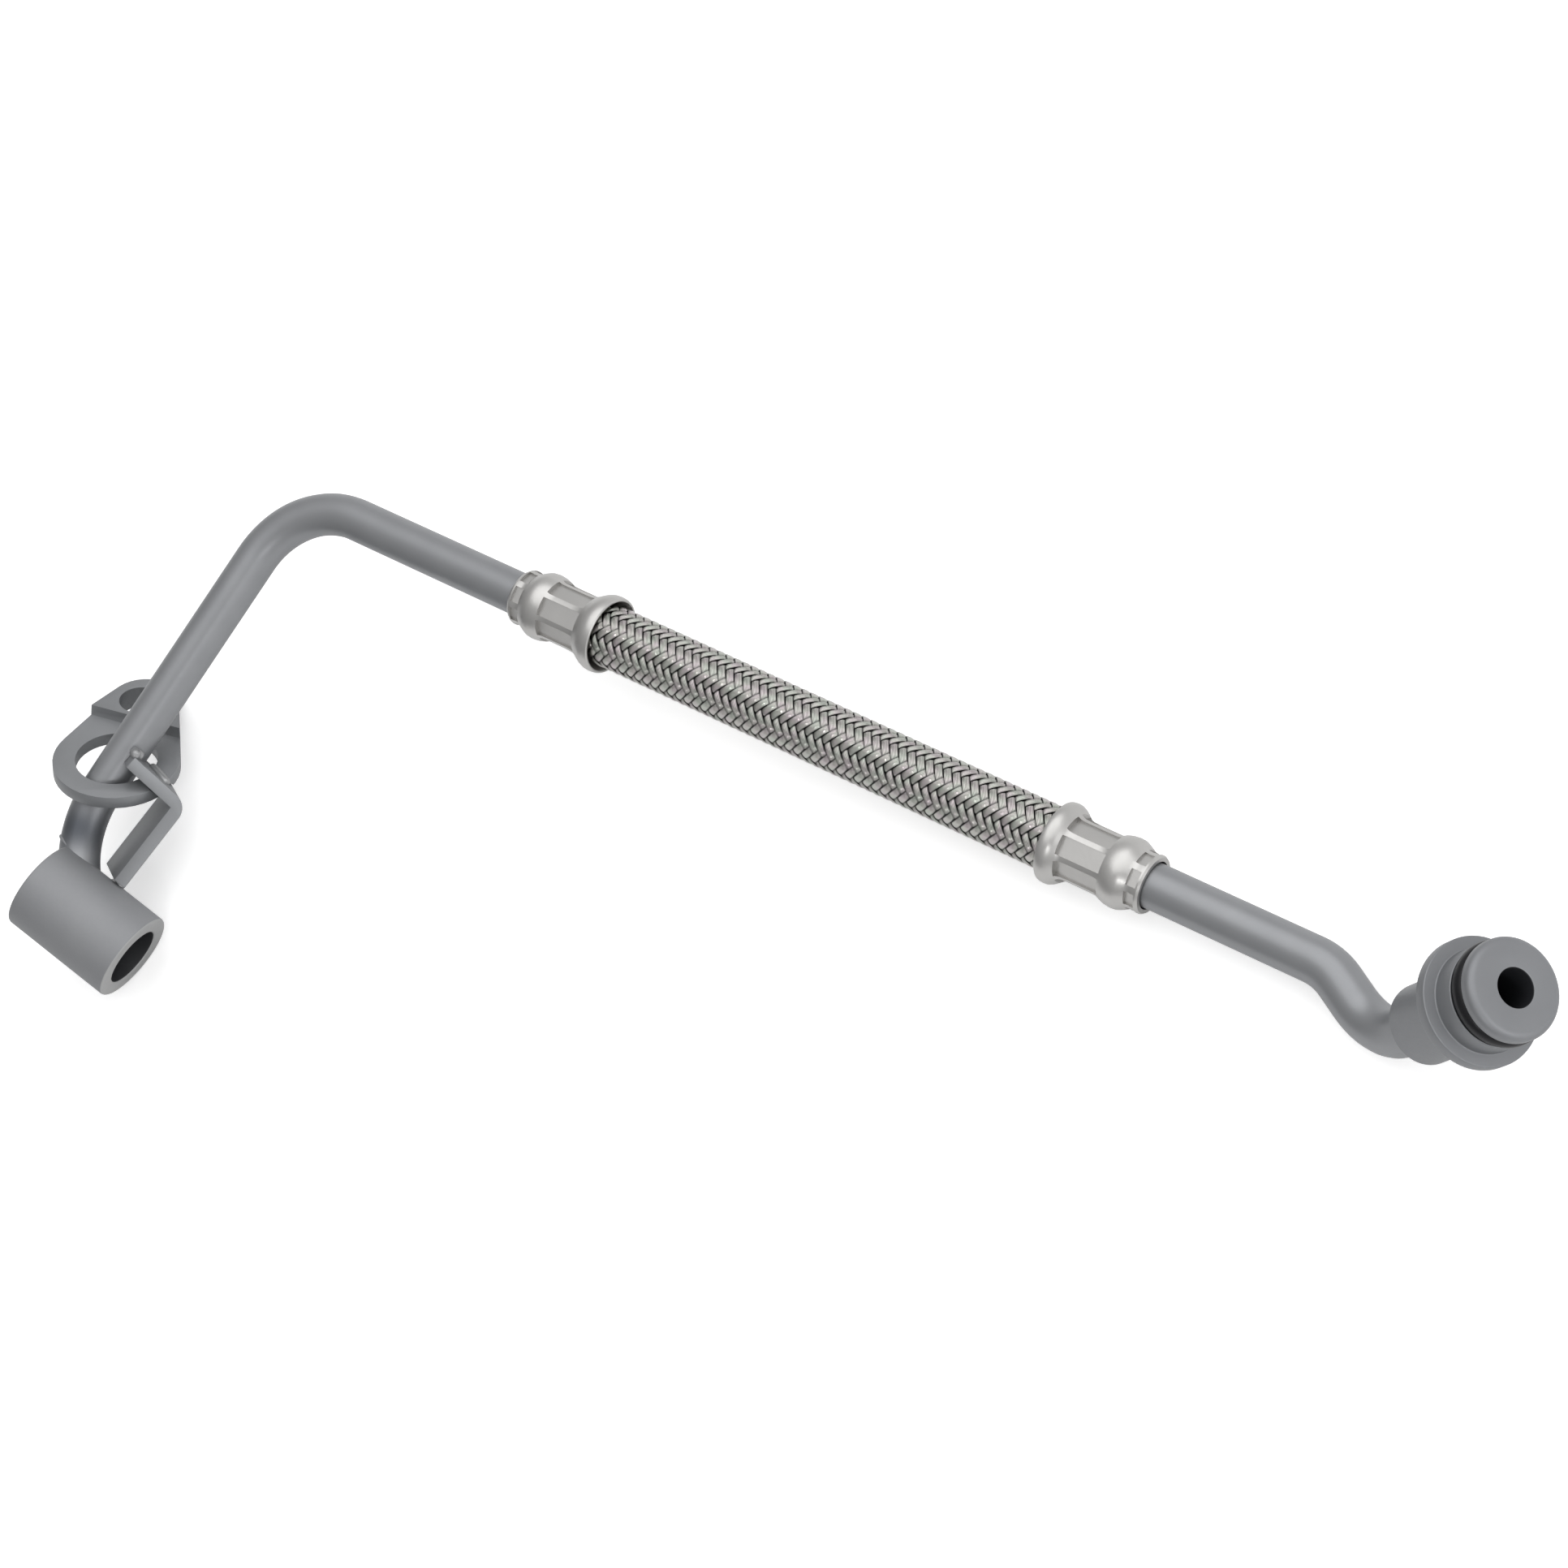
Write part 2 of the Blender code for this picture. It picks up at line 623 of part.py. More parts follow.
def make_plate_weld(parent, braze):
    """Bead along the line where the strap's outer face stands on the plate."""
    upper, _, upper_out, _ = strap_directions()
    centre = plate_frame().translation
    wanted = CLEARANCE + WELD_RADIUS
    places = strap_stations(upper_out, PLATE_WELD_START, PLATE_WELD_END)
    points = []
    for place in places:
        height = (place - centre).dot(PLATE_NORMAL) - wanted
        points.append(place - upper * (height / upper.dot(PLATE_NORMAL)))
    add_object("strap_plate_weld", bead_mesh(points, WELD_RADIUS), braze, parent)


# Ferrules and nipples

def ferrule_profile(flare):
    mouth = FERRULE_MOUTH_RADIUS
    waist = FERRULE_WAIST_RADIUS
    swell = FERRULE_SWELL_RADIUS
    collar = FERRULE_COLLAR_RADIUS
    grip = BRAID_CRIMPED_RADIUS + CLEARANCE
    tube_fit = TUBE_OUTER_RADIUS + CLEARANCE
    swell_at = flare + SWELL_FROM_WAIST
    collar_at = flare + COLLAR_FROM_WAIST
    end = flare + COLLAR_END_FROM_WAIST
    step = flare + TUBE_FROM_WAIST
    return [
        (0.0, FERRULE_MOUTH_BORE), (0.0, mouth - 0.0003), (0.1 * flare, mouth),
        (0.35 * flare, mouth), (0.62 * flare, mouth - 0.35 * (mouth - waist)),
        (0.82 * flare, waist + 0.25 * (mouth - waist)), (flare, waist + 0.0001),
        (flare + WAIST_LENGTH, waist), (swell_at - 0.0018, (waist + swell) / 2.0), (swell_at, swell),
        (swell_at + 0.0013, swell - 0.00025), (collar_at, collar + 0.00015),
        (collar_at + 0.0010, collar), (end - 0.0013, collar + 0.0001),
        (end, collar - 0.0001), (end, tube_fit), (step, tube_fit), (step, grip),
        (flare - CRIMP_BEFORE_WAIST, grip),
    ]


def flat_cutters(name, start, end, flat_radius, parent):
    """Ring of blocks, one for each jaw, that leave flats at the given radius."""
    bm = bmesh.new()
    reach = FERRULE_MOUTH_RADIUS
    width = 2.0 * flat_radius * math.tan(math.pi / CRIMP_JAWS)
    for jaw in range(CRIMP_JAWS):
        centre = Vector(((start + end) / 2.0, 0.0, flat_radius + reach / 2.0))
        block = Matrix.Translation(centre) @ Matrix.Diagonal((end - start, width, reach, 1.0))
        swing = Matrix.Rotation(2.0 * math.pi * jaw / CRIMP_JAWS, 4, "X")
        bmesh.ops.create_cube(bm, size=1.0, matrix=swing @ block)
    return make_cutter(name, bm, parent)


def facing(outward):
    """Turn that points a ferrule's own X along the hose or back against it."""
    half_turn = 0.0 if outward.x > 0.0 else math.pi
    return Matrix.Rotation(half_turn, 3, "Z").to_quaternion()


def make_ferrule(name, mouth, outward, flare, parent, stainless):
    ferrule = add_object(name, turned_mesh(ferrule_profile(flare), FERRULE_SIDES), stainless, parent)
    crimp = flat_cutters("cut_" + name + "_crimp", flare, flare + WAIST_LENGTH, CRIMP_FLAT_RADIUS, parent)
    facets_start = flare + COLLAR_FROM_WAIST
    facets_end = facets_start + COLLAR_FLAT_LENGTH
    facets = flat_cutters("cut_" + name + "_collar", facets_start, facets_end, COLLAR_FLAT_RADIUS, parent)
    for obj in (ferrule, crimp, facets):
        obj.rotation_mode = "QUATERNION"
        obj.rotation_quaternion = facing(outward)
        obj.location = mouth
    cut_with(ferrule, crimp)
    cut_with(ferrule, facets)


def nipple_profile(flare):
    """Stem with sawtooth barbs in the hose, shoulder at the tube's end, tail in the tube."""
    stem = NIPPLE_STEM_RADIUS
    shoulder = flare + SHOULDER_FROM_WAIST
    tail_end = flare + TUBE_FROM_WAIST + NIPPLE_TAIL_LENGTH
    tail_radius = TUBE_BORE_RADIUS - CLEARANCE
    profile = [(CLEARANCE, NIPPLE_BORE_RADIUS), (CLEARANCE, stem - NIPPLE_BARB_DEPTH)]
    pitch = (shoulder - CLEARANCE) / (NIPPLE_BARBS + 1)
    for barb in range(NIPPLE_BARBS):
        crest = CLEARANCE + pitch * (barb + 1)
        profile += [(crest, stem), (crest + CLEARANCE, stem - NIPPLE_BARB_DEPTH)]
    profile += [
        (shoulder, stem - NIPPLE_BARB_DEPTH), (shoulder, NIPPLE_SHOULDER_RADIUS),
        (shoulder + NIPPLE_SHOULDER_LENGTH, NIPPLE_SHOULDER_RADIUS),
        (shoulder + NIPPLE_SHOULDER_LENGTH, tail_radius),
        (tail_end, tail_radius), (tail_end, NIPPLE_BORE_RADIUS),
    ]
    return profile


def make_nipple(name, mouth, outward, flare, parent, steel):
    nipple = add_object(name, turned_mesh(nipple_profile(flare), 16), steel, parent)
    nipple.rotation_mode = "QUATERNION"
    nipple.rotation_quaternion = facing(outward)
    nipple.location = mouth


# Hose

def make_liner(parent, polymer):
    outer = BRAID_INNER_RADIUS - CLEARANCE
    crimped = BRAID_CRIMPED_RADIUS - BRAID_CRIMPED_WALL - CLEARANCE
    far = HOSE_FREE_LENGTH
    left_grip = LEFT_FLARE - CRIMP_BEFORE_WAIST
    right_grip = far + RIGHT_FLARE - CRIMP_BEFORE_WAIST
    left_end = LEFT_FLARE + HOSE_END_FROM_WAIST
    right_end = far + RIGHT_FLARE + HOSE_END_FROM_WAIST
    profile = [
        (-left_end, LINER_BORE_RADIUS), (-left_end, crimped), (-left_grip, crimped), (0.0, outer),
        (far, outer), (right_grip, crimped), (right_end, crimped), (right_end, LINER_BORE_RADIUS),
    ]
    add_object("hose_liner", turned_mesh(profile, 24), polymer, parent)


def braid_radius(row, leaning_right):
    """Height of a wire band at a row: a groove between bands falls once in each pitch."""
    phase = (row if leaning_right else row + BRAID_ROWS // 2) % BRAID_ROWS
    return BRAID_GROOVE_RADIUS if phase == 0 else BRAID_CREST_RADIUS


def braid_skin(bm):
    """Herringbone of wire bands: each column leans the other way, and bands dip at its sides."""
    columns = BRAID_CARRIERS // 2
    pitch = BRAID_LEAD / columns
    step = pitch / BRAID_ROWS
    reach = math.ceil(HOSE_FREE_LENGTH / 2.0 / step) + 2 * BRAID_ROWS
    rows = range(-reach, reach + 1)
    middle = HOSE_FREE_LENGTH / 2.0

    def vertex(along, radius, turn):
        angle = BRAID_START_TURN + 2.0 * math.pi * turn / columns
        return bm.verts.new((middle + along, radius * math.cos(angle), radius * math.sin(angle)))

    borders = [
        {row: vertex(row * step, BRAID_CROSSING_RADIUS, column) for row in rows}
        for column in range(columns)
    ]
    for column in range(columns):
        leaning_right = column % 2 == 0
        lean = BRAID_ROWS if leaning_right else -BRAID_ROWS
        crest = {
            row: vertex(row * step + lean * step / 2.0, braid_radius(row, leaning_right), column + 0.5)
            for row in rows
        }
        left = borders[column]
        right = borders[(column + 1) % columns]
        for row in rows[:-1]:
            bm.faces.new((left[row], crest[row], crest[row + 1], left[row + 1]))
            if row + lean in right and row + 1 + lean in right:
                bm.faces.new((crest[row], right[row + lean], right[row + 1 + lean], crest[row + 1]))


def trim_skin(bm, along, keep_side):
    result = bmesh.ops.bisect_plane(
        bm, geom=bm.verts[:] + bm.edges[:] + bm.faces[:], dist=1e-7,
        plane_co=(along, 0.0, 0.0), plane_no=(-keep_side, 0.0, 0.0), clear_outer=True,
    )
    return [item for item in result["geom_cut"] if isinstance(item, bmesh.types.BMEdge)]


def carry_ring(bm, edges, along, radius):
    """Pull a ring of edges out to a new place along the hose and a new radius."""
    pulled = bmesh.ops.extrude_edge_only(bm, edges=edges)["geom"]
    for vert in (item for item in pulled if isinstance(item, bmesh.types.BMVert)):
        spread = radius / math.hypot(vert.co.y, vert.co.z)
        vert.co = (along, vert.co.y * spread, vert.co.z * spread)
    return [item for item in pulled if isinstance(item, bmesh.types.BMEdge)]


def make_braid(parent, wire):
    bm = bmesh.new()
    braid_skin(bm)
    crimped_bore = BRAID_CRIMPED_RADIUS - BRAID_CRIMPED_WALL
    inner_rings = []
    for mouth, outward, flare in ((0.0, -1.0, LEFT_FLARE), (HOSE_FREE_LENGTH, 1.0, RIGHT_FLARE)):
        grip = mouth + outward * (flare - CRIMP_BEFORE_WAIST)
        end = mouth + outward * (flare + HOSE_END_FROM_WAIST)
        ring = trim_skin(bm, mouth, -outward)
        ring = carry_ring(bm, ring, grip, BRAID_CRIMPED_RADIUS)
        ring = carry_ring(bm, ring, end, BRAID_CRIMPED_RADIUS)
        ring = carry_ring(bm, ring, end, crimped_bore)
        ring = carry_ring(bm, ring, grip, crimped_bore)
        inner_rings += carry_ring(bm, ring, mouth, BRAID_INNER_RADIUS)
    bmesh.ops.bridge_loops(bm, edges=inner_rings)
    add_object("hose_braid", bm, wire, parent, math.radians(20.0))


# Plug

def plug_profile():
    land = PLUG_LAND_RADIUS
    edge = EDGE_BREAK
    socket = TUBE_OUTER_RADIUS + CLEARANCE
    socket_floor = PLUG_LENGTH - TUBE_SOCKET_DEPTH - CLEARANCE
    nose = []
    for step in range(5):
        angle = math.pi / 2.0 * step / 4.0
        along = PLUG_NOSE_LENGTH * (1.0 - math.cos(angle))
        nose.append((along, PLUG_NOSE_RADIUS + (land - PLUG_NOSE_RADIUS) * math.sin(angle)))
    return [(edge, PLUG_BORE_RADIUS), (0.0, PLUG_BORE_RADIUS + edge)] + nose + [
        (GROOVE_START, land), (GROOVE_START, GROOVE_RADIUS), (GROOVE_END, GROOVE_RADIUS),
        (GROOVE_END, land - edge / 2.0), (GROOVE_END + edge / 2.0, land), (FLANGE_START, land),
        (FLANGE_START, FLANGE_RADIUS - edge), (FLANGE_START + edge, FLANGE_RADIUS),
        (FLANGE_END - edge, FLANGE_RADIUS), (FLANGE_END, FLANGE_RADIUS - edge), (FLANGE_END, NECK_RADIUS),
        (PLUG_LENGTH - edge, NECK_RADIUS), (PLUG_LENGTH, NECK_RADIUS - edge), (PLUG_LENGTH, socket),
        (socket_floor, socket), (socket_floor, PLUG_BORE_RADIUS),
    ]


def make_plug(parent, steel):
    plug = add_object("plug_fitting", turned_mesh(plug_profile(), 32), steel, parent)
    turn_along(plug, PLUG_FACE, -PLUG_AXIS)


def make_o_ring(parent, rubber):
    centre = (GROOVE_START + GROOVE_END) / 2.0
    middle = GROOVE_RADIUS + CLEARANCE + O_RING_CORD_RADIUS
    profile = []
    for step in range(10):
        angle = 2.0 * math.pi * step / 10.0
        along = centre + O_RING_CORD_RADIUS * math.cos(angle)
        profile.append((along, middle + O_RING_CORD_RADIUS * math.sin(angle)))
    ring = add_object("plug_o_ring", turned_mesh(profile, 32), rubber, parent)
    turn_along(ring, PLUG_FACE, -PLUG_AXIS)


def make_plug_braze(parent, braze):
    foot = PLUG_LENGTH + CLEARANCE
    inner = TUBE_OUTER_RADIUS + CLEARANCE
    profile = [(foot, inner), (foot, inner + BRAZE_SIZE)]
    for step in range(1, 4):
        angle = math.pi / 2.0 * step / 4.0
        along = foot + BRAZE_SIZE * (1.0 - math.cos(angle))
        profile.append((along, inner + BRAZE_SIZE * (1.0 - math.sin(angle))))
    profile.append((foot + BRAZE_SIZE, inner))
    bead = add_object("plug_tube_braze", turned_mesh(profile, 24), braze, parent)
    turn_along(bead, PLUG_FACE, -PLUG_AXIS)


# Rest on the ground

def settle(root):
    """Tilt the line as it rests, then put its lowest point on the ground below its middle."""
    root.rotation_euler = (REST_ROLL, REST_PITCH, 0.0)
    bpy.context.view_layer.update()
    graph = bpy.context.evaluated_depsgraph_get()
    corners = []
    for obj in root.children:
        if obj.hide_render:
            continue
        shape = obj.evaluated_get(graph)
        corners += [shape.matrix_world @ vert.co for vert in shape.data.vertices]
    low = Vector(min(corner[axis] for corner in corners) for axis in range(3))
    high = Vector(max(corner[axis] for corner in corners) for axis in range(3))
    root.location -= Vector(((low.x + high.x) / 2.0, (low.y + high.y) / 2.0, low.z))
    bpy.context.view_layer.update()


def build():
    clear_scene()
    coated = make_material("coated_steel", (0.27, 0.27, 0.28), 0.42, 0.85)
    stainless = make_material("stainless_steel", (0.60, 0.58, 0.55), 0.32, 1.0)
    wire = make_material("braid_wire", (0.62, 0.62, 0.62), 0.35, 1.0)
    polymer = make_material("liner_polymer", (0.10, 0.10, 0.10), 0.55, 0.0)
    rubber = make_material("seal_rubber", (0.02, 0.02, 0.02), 0.60, 0.0)
    braze = make_material("braze_metal", (0.45, 0.44, 0.42), 0.45, 0.9)
    root = bpy.data.objects.new(ROOT_NAME, None)
    bpy.context.scene.collection.objects.link(root)
    make_left_tube(root, coated)
    make_sleeve(root, coated)
    make_plate(root, coated)
    make_strap(root, coated)
    make_ferrule("left_ferrule", LEFT_MOUTH, -ALONG, LEFT_FLARE, root, stainless)
    make_ferrule("right_ferrule", RIGHT_MOUTH, ALONG, RIGHT_FLARE, root, stainless)
    make_nipple("left_nipple", LEFT_MOUTH, -ALONG, LEFT_FLARE, root, stainless)
    make_nipple("right_nipple", RIGHT_MOUTH, ALONG, RIGHT_FLARE, root, stainless)
    make_liner(root, polymer)
    make_braid(root, wire)
    make_right_tube(root, coated)
    make_plug(root, coated)
    make_o_ring(root, rubber)
    make_plug_braze(root, braze)
    make_sleeve_braze(root, braze)
    make_sleeve_weld(root, braze)
    make_tube_weld(root, braze)
    make_plate_weld(root, braze)
    settle(root)


build()
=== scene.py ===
import math

import bpy
import numpy as np
from mathutils import Euler, Matrix, Vector


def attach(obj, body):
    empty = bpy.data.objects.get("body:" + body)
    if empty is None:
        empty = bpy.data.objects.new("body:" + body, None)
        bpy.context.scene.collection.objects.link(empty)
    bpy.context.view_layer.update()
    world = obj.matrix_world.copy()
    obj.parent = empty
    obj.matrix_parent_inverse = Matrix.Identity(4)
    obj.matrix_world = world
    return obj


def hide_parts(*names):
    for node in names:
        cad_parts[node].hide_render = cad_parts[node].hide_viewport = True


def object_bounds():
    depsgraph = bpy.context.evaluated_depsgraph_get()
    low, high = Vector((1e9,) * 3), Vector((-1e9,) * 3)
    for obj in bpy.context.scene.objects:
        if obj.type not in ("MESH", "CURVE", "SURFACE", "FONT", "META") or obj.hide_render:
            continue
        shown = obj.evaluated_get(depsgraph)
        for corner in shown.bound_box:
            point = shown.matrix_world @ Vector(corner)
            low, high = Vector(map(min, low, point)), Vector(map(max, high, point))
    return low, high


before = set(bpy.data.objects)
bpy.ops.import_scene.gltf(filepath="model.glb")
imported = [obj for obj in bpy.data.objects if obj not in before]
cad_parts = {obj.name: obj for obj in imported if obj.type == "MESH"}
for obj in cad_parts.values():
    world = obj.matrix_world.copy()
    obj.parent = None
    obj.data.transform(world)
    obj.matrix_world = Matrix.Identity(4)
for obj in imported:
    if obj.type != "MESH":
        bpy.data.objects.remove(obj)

cad_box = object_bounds()


# Camera: looks down on the line as the photograph does, from the right and above,
# with a long lens. The line lies on the ground, so the ground fills the view.
PHOTO_SIDE = 1932
FOCAL_PIXELS = 4500
SENSOR_WIDTH = 36.0
NEAREST_SEEN = 0.01
EYE = Vector((0.33383, -0.00837, 0.54896))
VIEW_RIGHT = Vector((0.77148, 0.45690, -0.44279)).normalized()
VIEW_BACK = Vector((0.52557, -0.06528, 0.84824)).normalized()

bpy.ops.object.camera_add(location=EYE)
camera = bpy.context.object
camera.name = "photo_camera"
view_up = VIEW_BACK.cross(VIEW_RIGHT).normalized()
view_right = view_up.cross(VIEW_BACK)
camera.rotation_euler = Matrix((view_right, view_up, VIEW_BACK)).transposed().to_euler()
camera.data.sensor_width = SENSOR_WIDTH
camera.data.lens = FOCAL_PIXELS / PHOTO_SIDE * SENSOR_WIDTH
camera.data.clip_start = NEAREST_SEEN
bpy.context.scene.camera = camera
bpy.context.scene.view_settings.view_transform = "Standard"


# Light: a white studio. The dome is brightest overhead and over the white table to the
# right, and dimmer behind the camera and on the left, which the tubes show as soft bands.
WHITE = (1.0, 1.0, 1.0, 1.0)
DOME_BRIGHT_WAY = Vector((0.45, 0.50, 0.45)).normalized()
DOME_SPAN = (-0.9, 0.95)
DOME_LEVELS = (0.35, 0.84)
EYE_SIDE_SPAN = (0.70, 0.98)
EYE_SIDE_LEVELS = (1.0, 0.62)
LAMP_AIM = Vector((0.0, 0.0, 0.01))
LAMPS = [
    ("lamp_overhead", Vector((0.10, 0.45, 1.05)), 1.80, 8.0),
    ("lamp_right", Vector((0.90, 0.10, 0.35)), 0.60, 1.4),
    ("lamp_sparkle", Vector((0.58, -0.48, 0.65)), 0.15, 0.70),
]


def work_out(tree, operation, first, second):
    """One sum between two sockets, or between a socket and a plain number."""
    step = tree.nodes.new("ShaderNodeMath")
    step.operation = operation
    tree.links.new(first, step.inputs[0])
    if isinstance(second, float):
        step.inputs[1].default_value = second
    else:
        tree.links.new(second, step.inputs[1])
    return step.outputs["Value"]


def ease(tree, value, span, levels):
    """Smooth step from the first level to the second while the value crosses the span."""
    step = tree.nodes.new("ShaderNodeMapRange")
    step.interpolation_type = "SMOOTHSTEP"
    sockets = ("From Min", "From Max", "To Min", "To Max")
    for socket, number in zip(sockets, (*span, *levels)):
        step.inputs[socket].default_value = number
    tree.links.new(value, step.inputs["Value"])
    return step.outputs["Result"]


def level_toward(tree, sight, way, span, levels):
    """Level that changes with how closely the line of sight follows a way."""
    toward = tree.nodes.new("ShaderNodeVectorMath")
    toward.operation = "DOT_PRODUCT"
    toward.inputs[1].default_value = way
    tree.links.new(sight, toward.inputs[0])
    return ease(tree, toward.outputs["Value"], span, levels)


def facing(axis):
    """Rotation that turns a new object's own z along the axis."""
    return axis.to_track_quat("Z", "Y").to_euler()


world = bpy.data.worlds.new("studio_dome")
bpy.context.scene.world = world
world.use_nodes = True
dome = world.node_tree
dome_sight = dome.nodes.new("ShaderNodeTexCoord").outputs["Generated"]
dome_level = level_toward(dome, dome_sight, DOME_BRIGHT_WAY, DOME_SPAN, DOME_LEVELS)
eye_side = level_toward(dome, dome_sight, VIEW_BACK, EYE_SIDE_SPAN, EYE_SIDE_LEVELS)
dome_rays = dome.nodes.new("ShaderNodeLightPath")
dome_seen = dome.nodes.new("ShaderNodeMix")
dome_seen.inputs["B"].default_value = 1.0
dome_shell = dome.nodes["Background"]
dome_shell.inputs["Color"].default_value = WHITE
dome.links.new(dome_rays.outputs["Is Camera Ray"], dome_seen.inputs["Factor"])
dome.links.new(work_out(dome, "MULTIPLY", dome_level, eye_side), dome_seen.inputs["A"])
dome.links.new(dome_seen.outputs["Result"], dome_shell.inputs["Strength"])

for lamp_name, place, width, power in LAMPS:
    bpy.ops.object.light_add(type="AREA", location=place)
    lamp = bpy.context.object
    lamp.name = lamp_name
    lamp.data.shape = "DISK"
    lamp.data.size = width
    lamp.data.energy = power
    lamp.rotation_euler = facing(place - LAMP_AIM)


# Floor: plain white paper that runs out of sight and keeps only a soft shadow. It glows
# a little to the camera alone, so that it stays white under the soft lamps.
FLOOR_WIDTH = 12.0
FLOOR_DROP = 0.0001
PAPER_COLOUR = (0.9, 0.9, 0.9, 1.0)
PAPER_ROUGHNESS = 0.9
PAPER_GLOW = 0.42

bpy.ops.mesh.primitive_plane_add(size=FLOOR_WIDTH, location=(0.0, 0.0, -FLOOR_DROP))
floor = bpy.context.object
floor.name = "paper_floor"
paper = bpy.data.materials.new("white_paper")
paper.use_nodes = True
paper_shader = paper.node_tree.nodes["Principled BSDF"]
paper_shader.inputs["Base Color"].default_value = PAPER_COLOUR
paper_shader.inputs["Roughness"].default_value = PAPER_ROUGHNESS
paper_shader.inputs["Emission Color"].default_value = WHITE
paper_rays = paper.node_tree.nodes.new("ShaderNodeLightPath")
paper_glow = work_out(
    paper.node_tree, "MULTIPLY", paper_rays.outputs["Is Camera Ray"], PAPER_GLOW
)
paper.node_tree.links.new(paper_glow, paper_shader.inputs["Emission Strength"])
floor.data.materials.append(paper)


# Left tube: seamless steel tube from the hose down to the bolt sleeve, bent twice on a
# mandrel and plated a satin grey. It is brazed into the sleeve's side, and a dark
# reflection is painted onto its plating at the lower bend.
LINE_TILT = Euler((math.radians(0.6), math.radians(3.2), 0.0))
LINE_ORIGIN = Vector((-0.044622, 0.043820, 0.013651))
TUBE_RADIUS = 0.0040
TUBE_WALL = 0.0010
TUBE_ROUNDNESS = 10
BEND_STEP = math.radians(2.5)
LEFT_FLARE = 0.0054
TUBE_FROM_WAIST = 0.0086
TUBE_PAST_SHOULDER = 0.0008
LEFT_STRAIGHT = 0.0764
LEFT_LEG = Vector((-0.01380, -0.07573, -0.00434))
LEFT_FOOT = Vector((0.01106, -0.01452, 0.00023))
LEFT_UPPER_BEND_RADIUS = 0.018
LEFT_LOWER_BEND_RADIUS = 0.020
SLEEVE_AXIS = Vector((0.9297, -0.1786, -0.3221)).normalized()
SLEEVE_PAST_TUBE = 0.0012
SLEEVE_BORE = 0.00585
SLEEVE_LENGTH = 0.0233
DRILL_SIDES = 64
MERGE_DISTANCE = 1e-6
GRAIN_NOISES = {"Speckle": (4.0, 0.65), "Cloud": (3.0, 0.5)}
SPECKLES_PER_CLOUD = 14.0
DIMPLE_DEPTH = 0.00004
# Painted dark reflection at the lower bend: its centre's offset, reach, strength and colour
DARK_REFLECTION_OFFSET = Vector((0.0026, 0.0, 0.0020))
DARK_REFLECTION_REACH = (0.0012, 0.0068)
DARK_REFLECTION_STRENGTH = 0.92
DARK_REFLECTION_COLOUR = (0.055, 0.062, 0.075, 1.0)

line_frame = Matrix.Translation(LINE_ORIGIN) @ LINE_TILT.to_matrix().to_4x4()
line_turn = LINE_TILT.to_matrix()
upper_bend = Vector((-LEFT_STRAIGHT, 0.0, 0.0))
lower_bend = upper_bend + LEFT_LEG
foot = lower_bend + LEFT_FOOT
sleeve_centre = line_frame @ (foot + SLEEVE_AXIS * SLEEVE_PAST_TUBE)
sleeve_axis = line_turn @ SLEEVE_AXIS


def bent_path(corners, radii):
    """Centre line through the corners, each inner corner rounded to its bend radius."""
    path = [corners[0]]
    for before, corner, after, radius in zip(corners, corners[1:], corners[2:], radii):
        back = (before - corner).normalized()
        on = (after - corner).normalized()
        turn = math.pi - back.angle(on)
        centre = corner + (back + on).normalized() * (radius / math.cos(turn / 2.0))
        start = corner + back * radius * math.tan(turn / 2.0) - centre
        finish = corner + on * radius * math.tan(turn / 2.0) - centre
        hinge = start.cross(finish).normalized()
        steps = math.ceil(turn / BEND_STEP)
        for step in range(steps + 1):
            path.append(centre + Matrix.Rotation(turn * step / steps, 3, hinge) @ start)
    path.append(corners[-1])
    return path


def only(piece):
    """Select this piece alone and make it the active one."""
    bpy.ops.object.select_all(action="DESELECT")
    piece.select_set(True)
    bpy.context.view_layer.objects.active = piece


def settle_mesh(piece, sharp_angle=32.0):
    """Bake place into the mesh, merge, point the faces out and shade round surfaces smooth."""
    only(piece)
    bpy.ops.object.transform_apply(location=True, rotation=True, scale=True)
    bpy.ops.object.mode_set(mode="EDIT")
    bpy.ops.mesh.select_all(action="SELECT")
    bpy.ops.mesh.remove_doubles(threshold=MERGE_DISTANCE)
    bpy.ops.mesh.normals_make_consistent(inside=False)
    bpy.ops.object.mode_set(mode="OBJECT")
    bpy.ops.object.shade_smooth_by_angle(angle=math.radians(sharp_angle))
    return piece


def apply_all(piece):
    """Apply the piece's modifiers in their order."""
    only(piece)
    for modifier in list(piece.modifiers):
        bpy.ops.object.modifier_apply(modifier=modifier.name)
    return piece


def cut_away(piece, tool):
    """Take a closed tool out of a piece, then throw the tool away."""
    cut = piece.modifiers.new("cut", "BOOLEAN")
    cut.operation = "DIFFERENCE"
    cut.object = tool
    apply_all(piece)
    bpy.data.objects.remove(tool)
    return piece


def drill(piece, middle, axis, radius):
    """Take a round bar, as long as the sleeve, out of a piece."""
    bpy.ops.mesh.primitive_cylinder_add(
        vertices=DRILL_SIDES, radius=radius, depth=SLEEVE_LENGTH, location=middle,
        rotation=facing(axis),
    )
    return cut_away(piece, bpy.context.object)


def draw_tube(name, path):
    """Pipe drawn along a path, open at both ends and given its wall inwards."""
    curve = bpy.data.curves.new(name, "CURVE")
    curve.dimensions = "3D"
    curve.bevel_depth = TUBE_RADIUS
    curve.bevel_resolution = TUBE_ROUNDNESS
    spline = curve.splines.new("POLY")
    spline.points.add(len(path) - 1)
    for point, place in zip(spline.points, path):
        point.co = (*(line_frame @ place), 1.0)
    piece = bpy.data.objects.new(name, curve)
    bpy.context.scene.collection.objects.link(piece)
    only(piece)
    bpy.ops.object.convert(target="MESH")
    wall = piece.modifiers.new("wall", "SOLIDIFY")
    wall.thickness = TUBE_WALL
    wall.offset = -1.0
    return apply_all(piece)


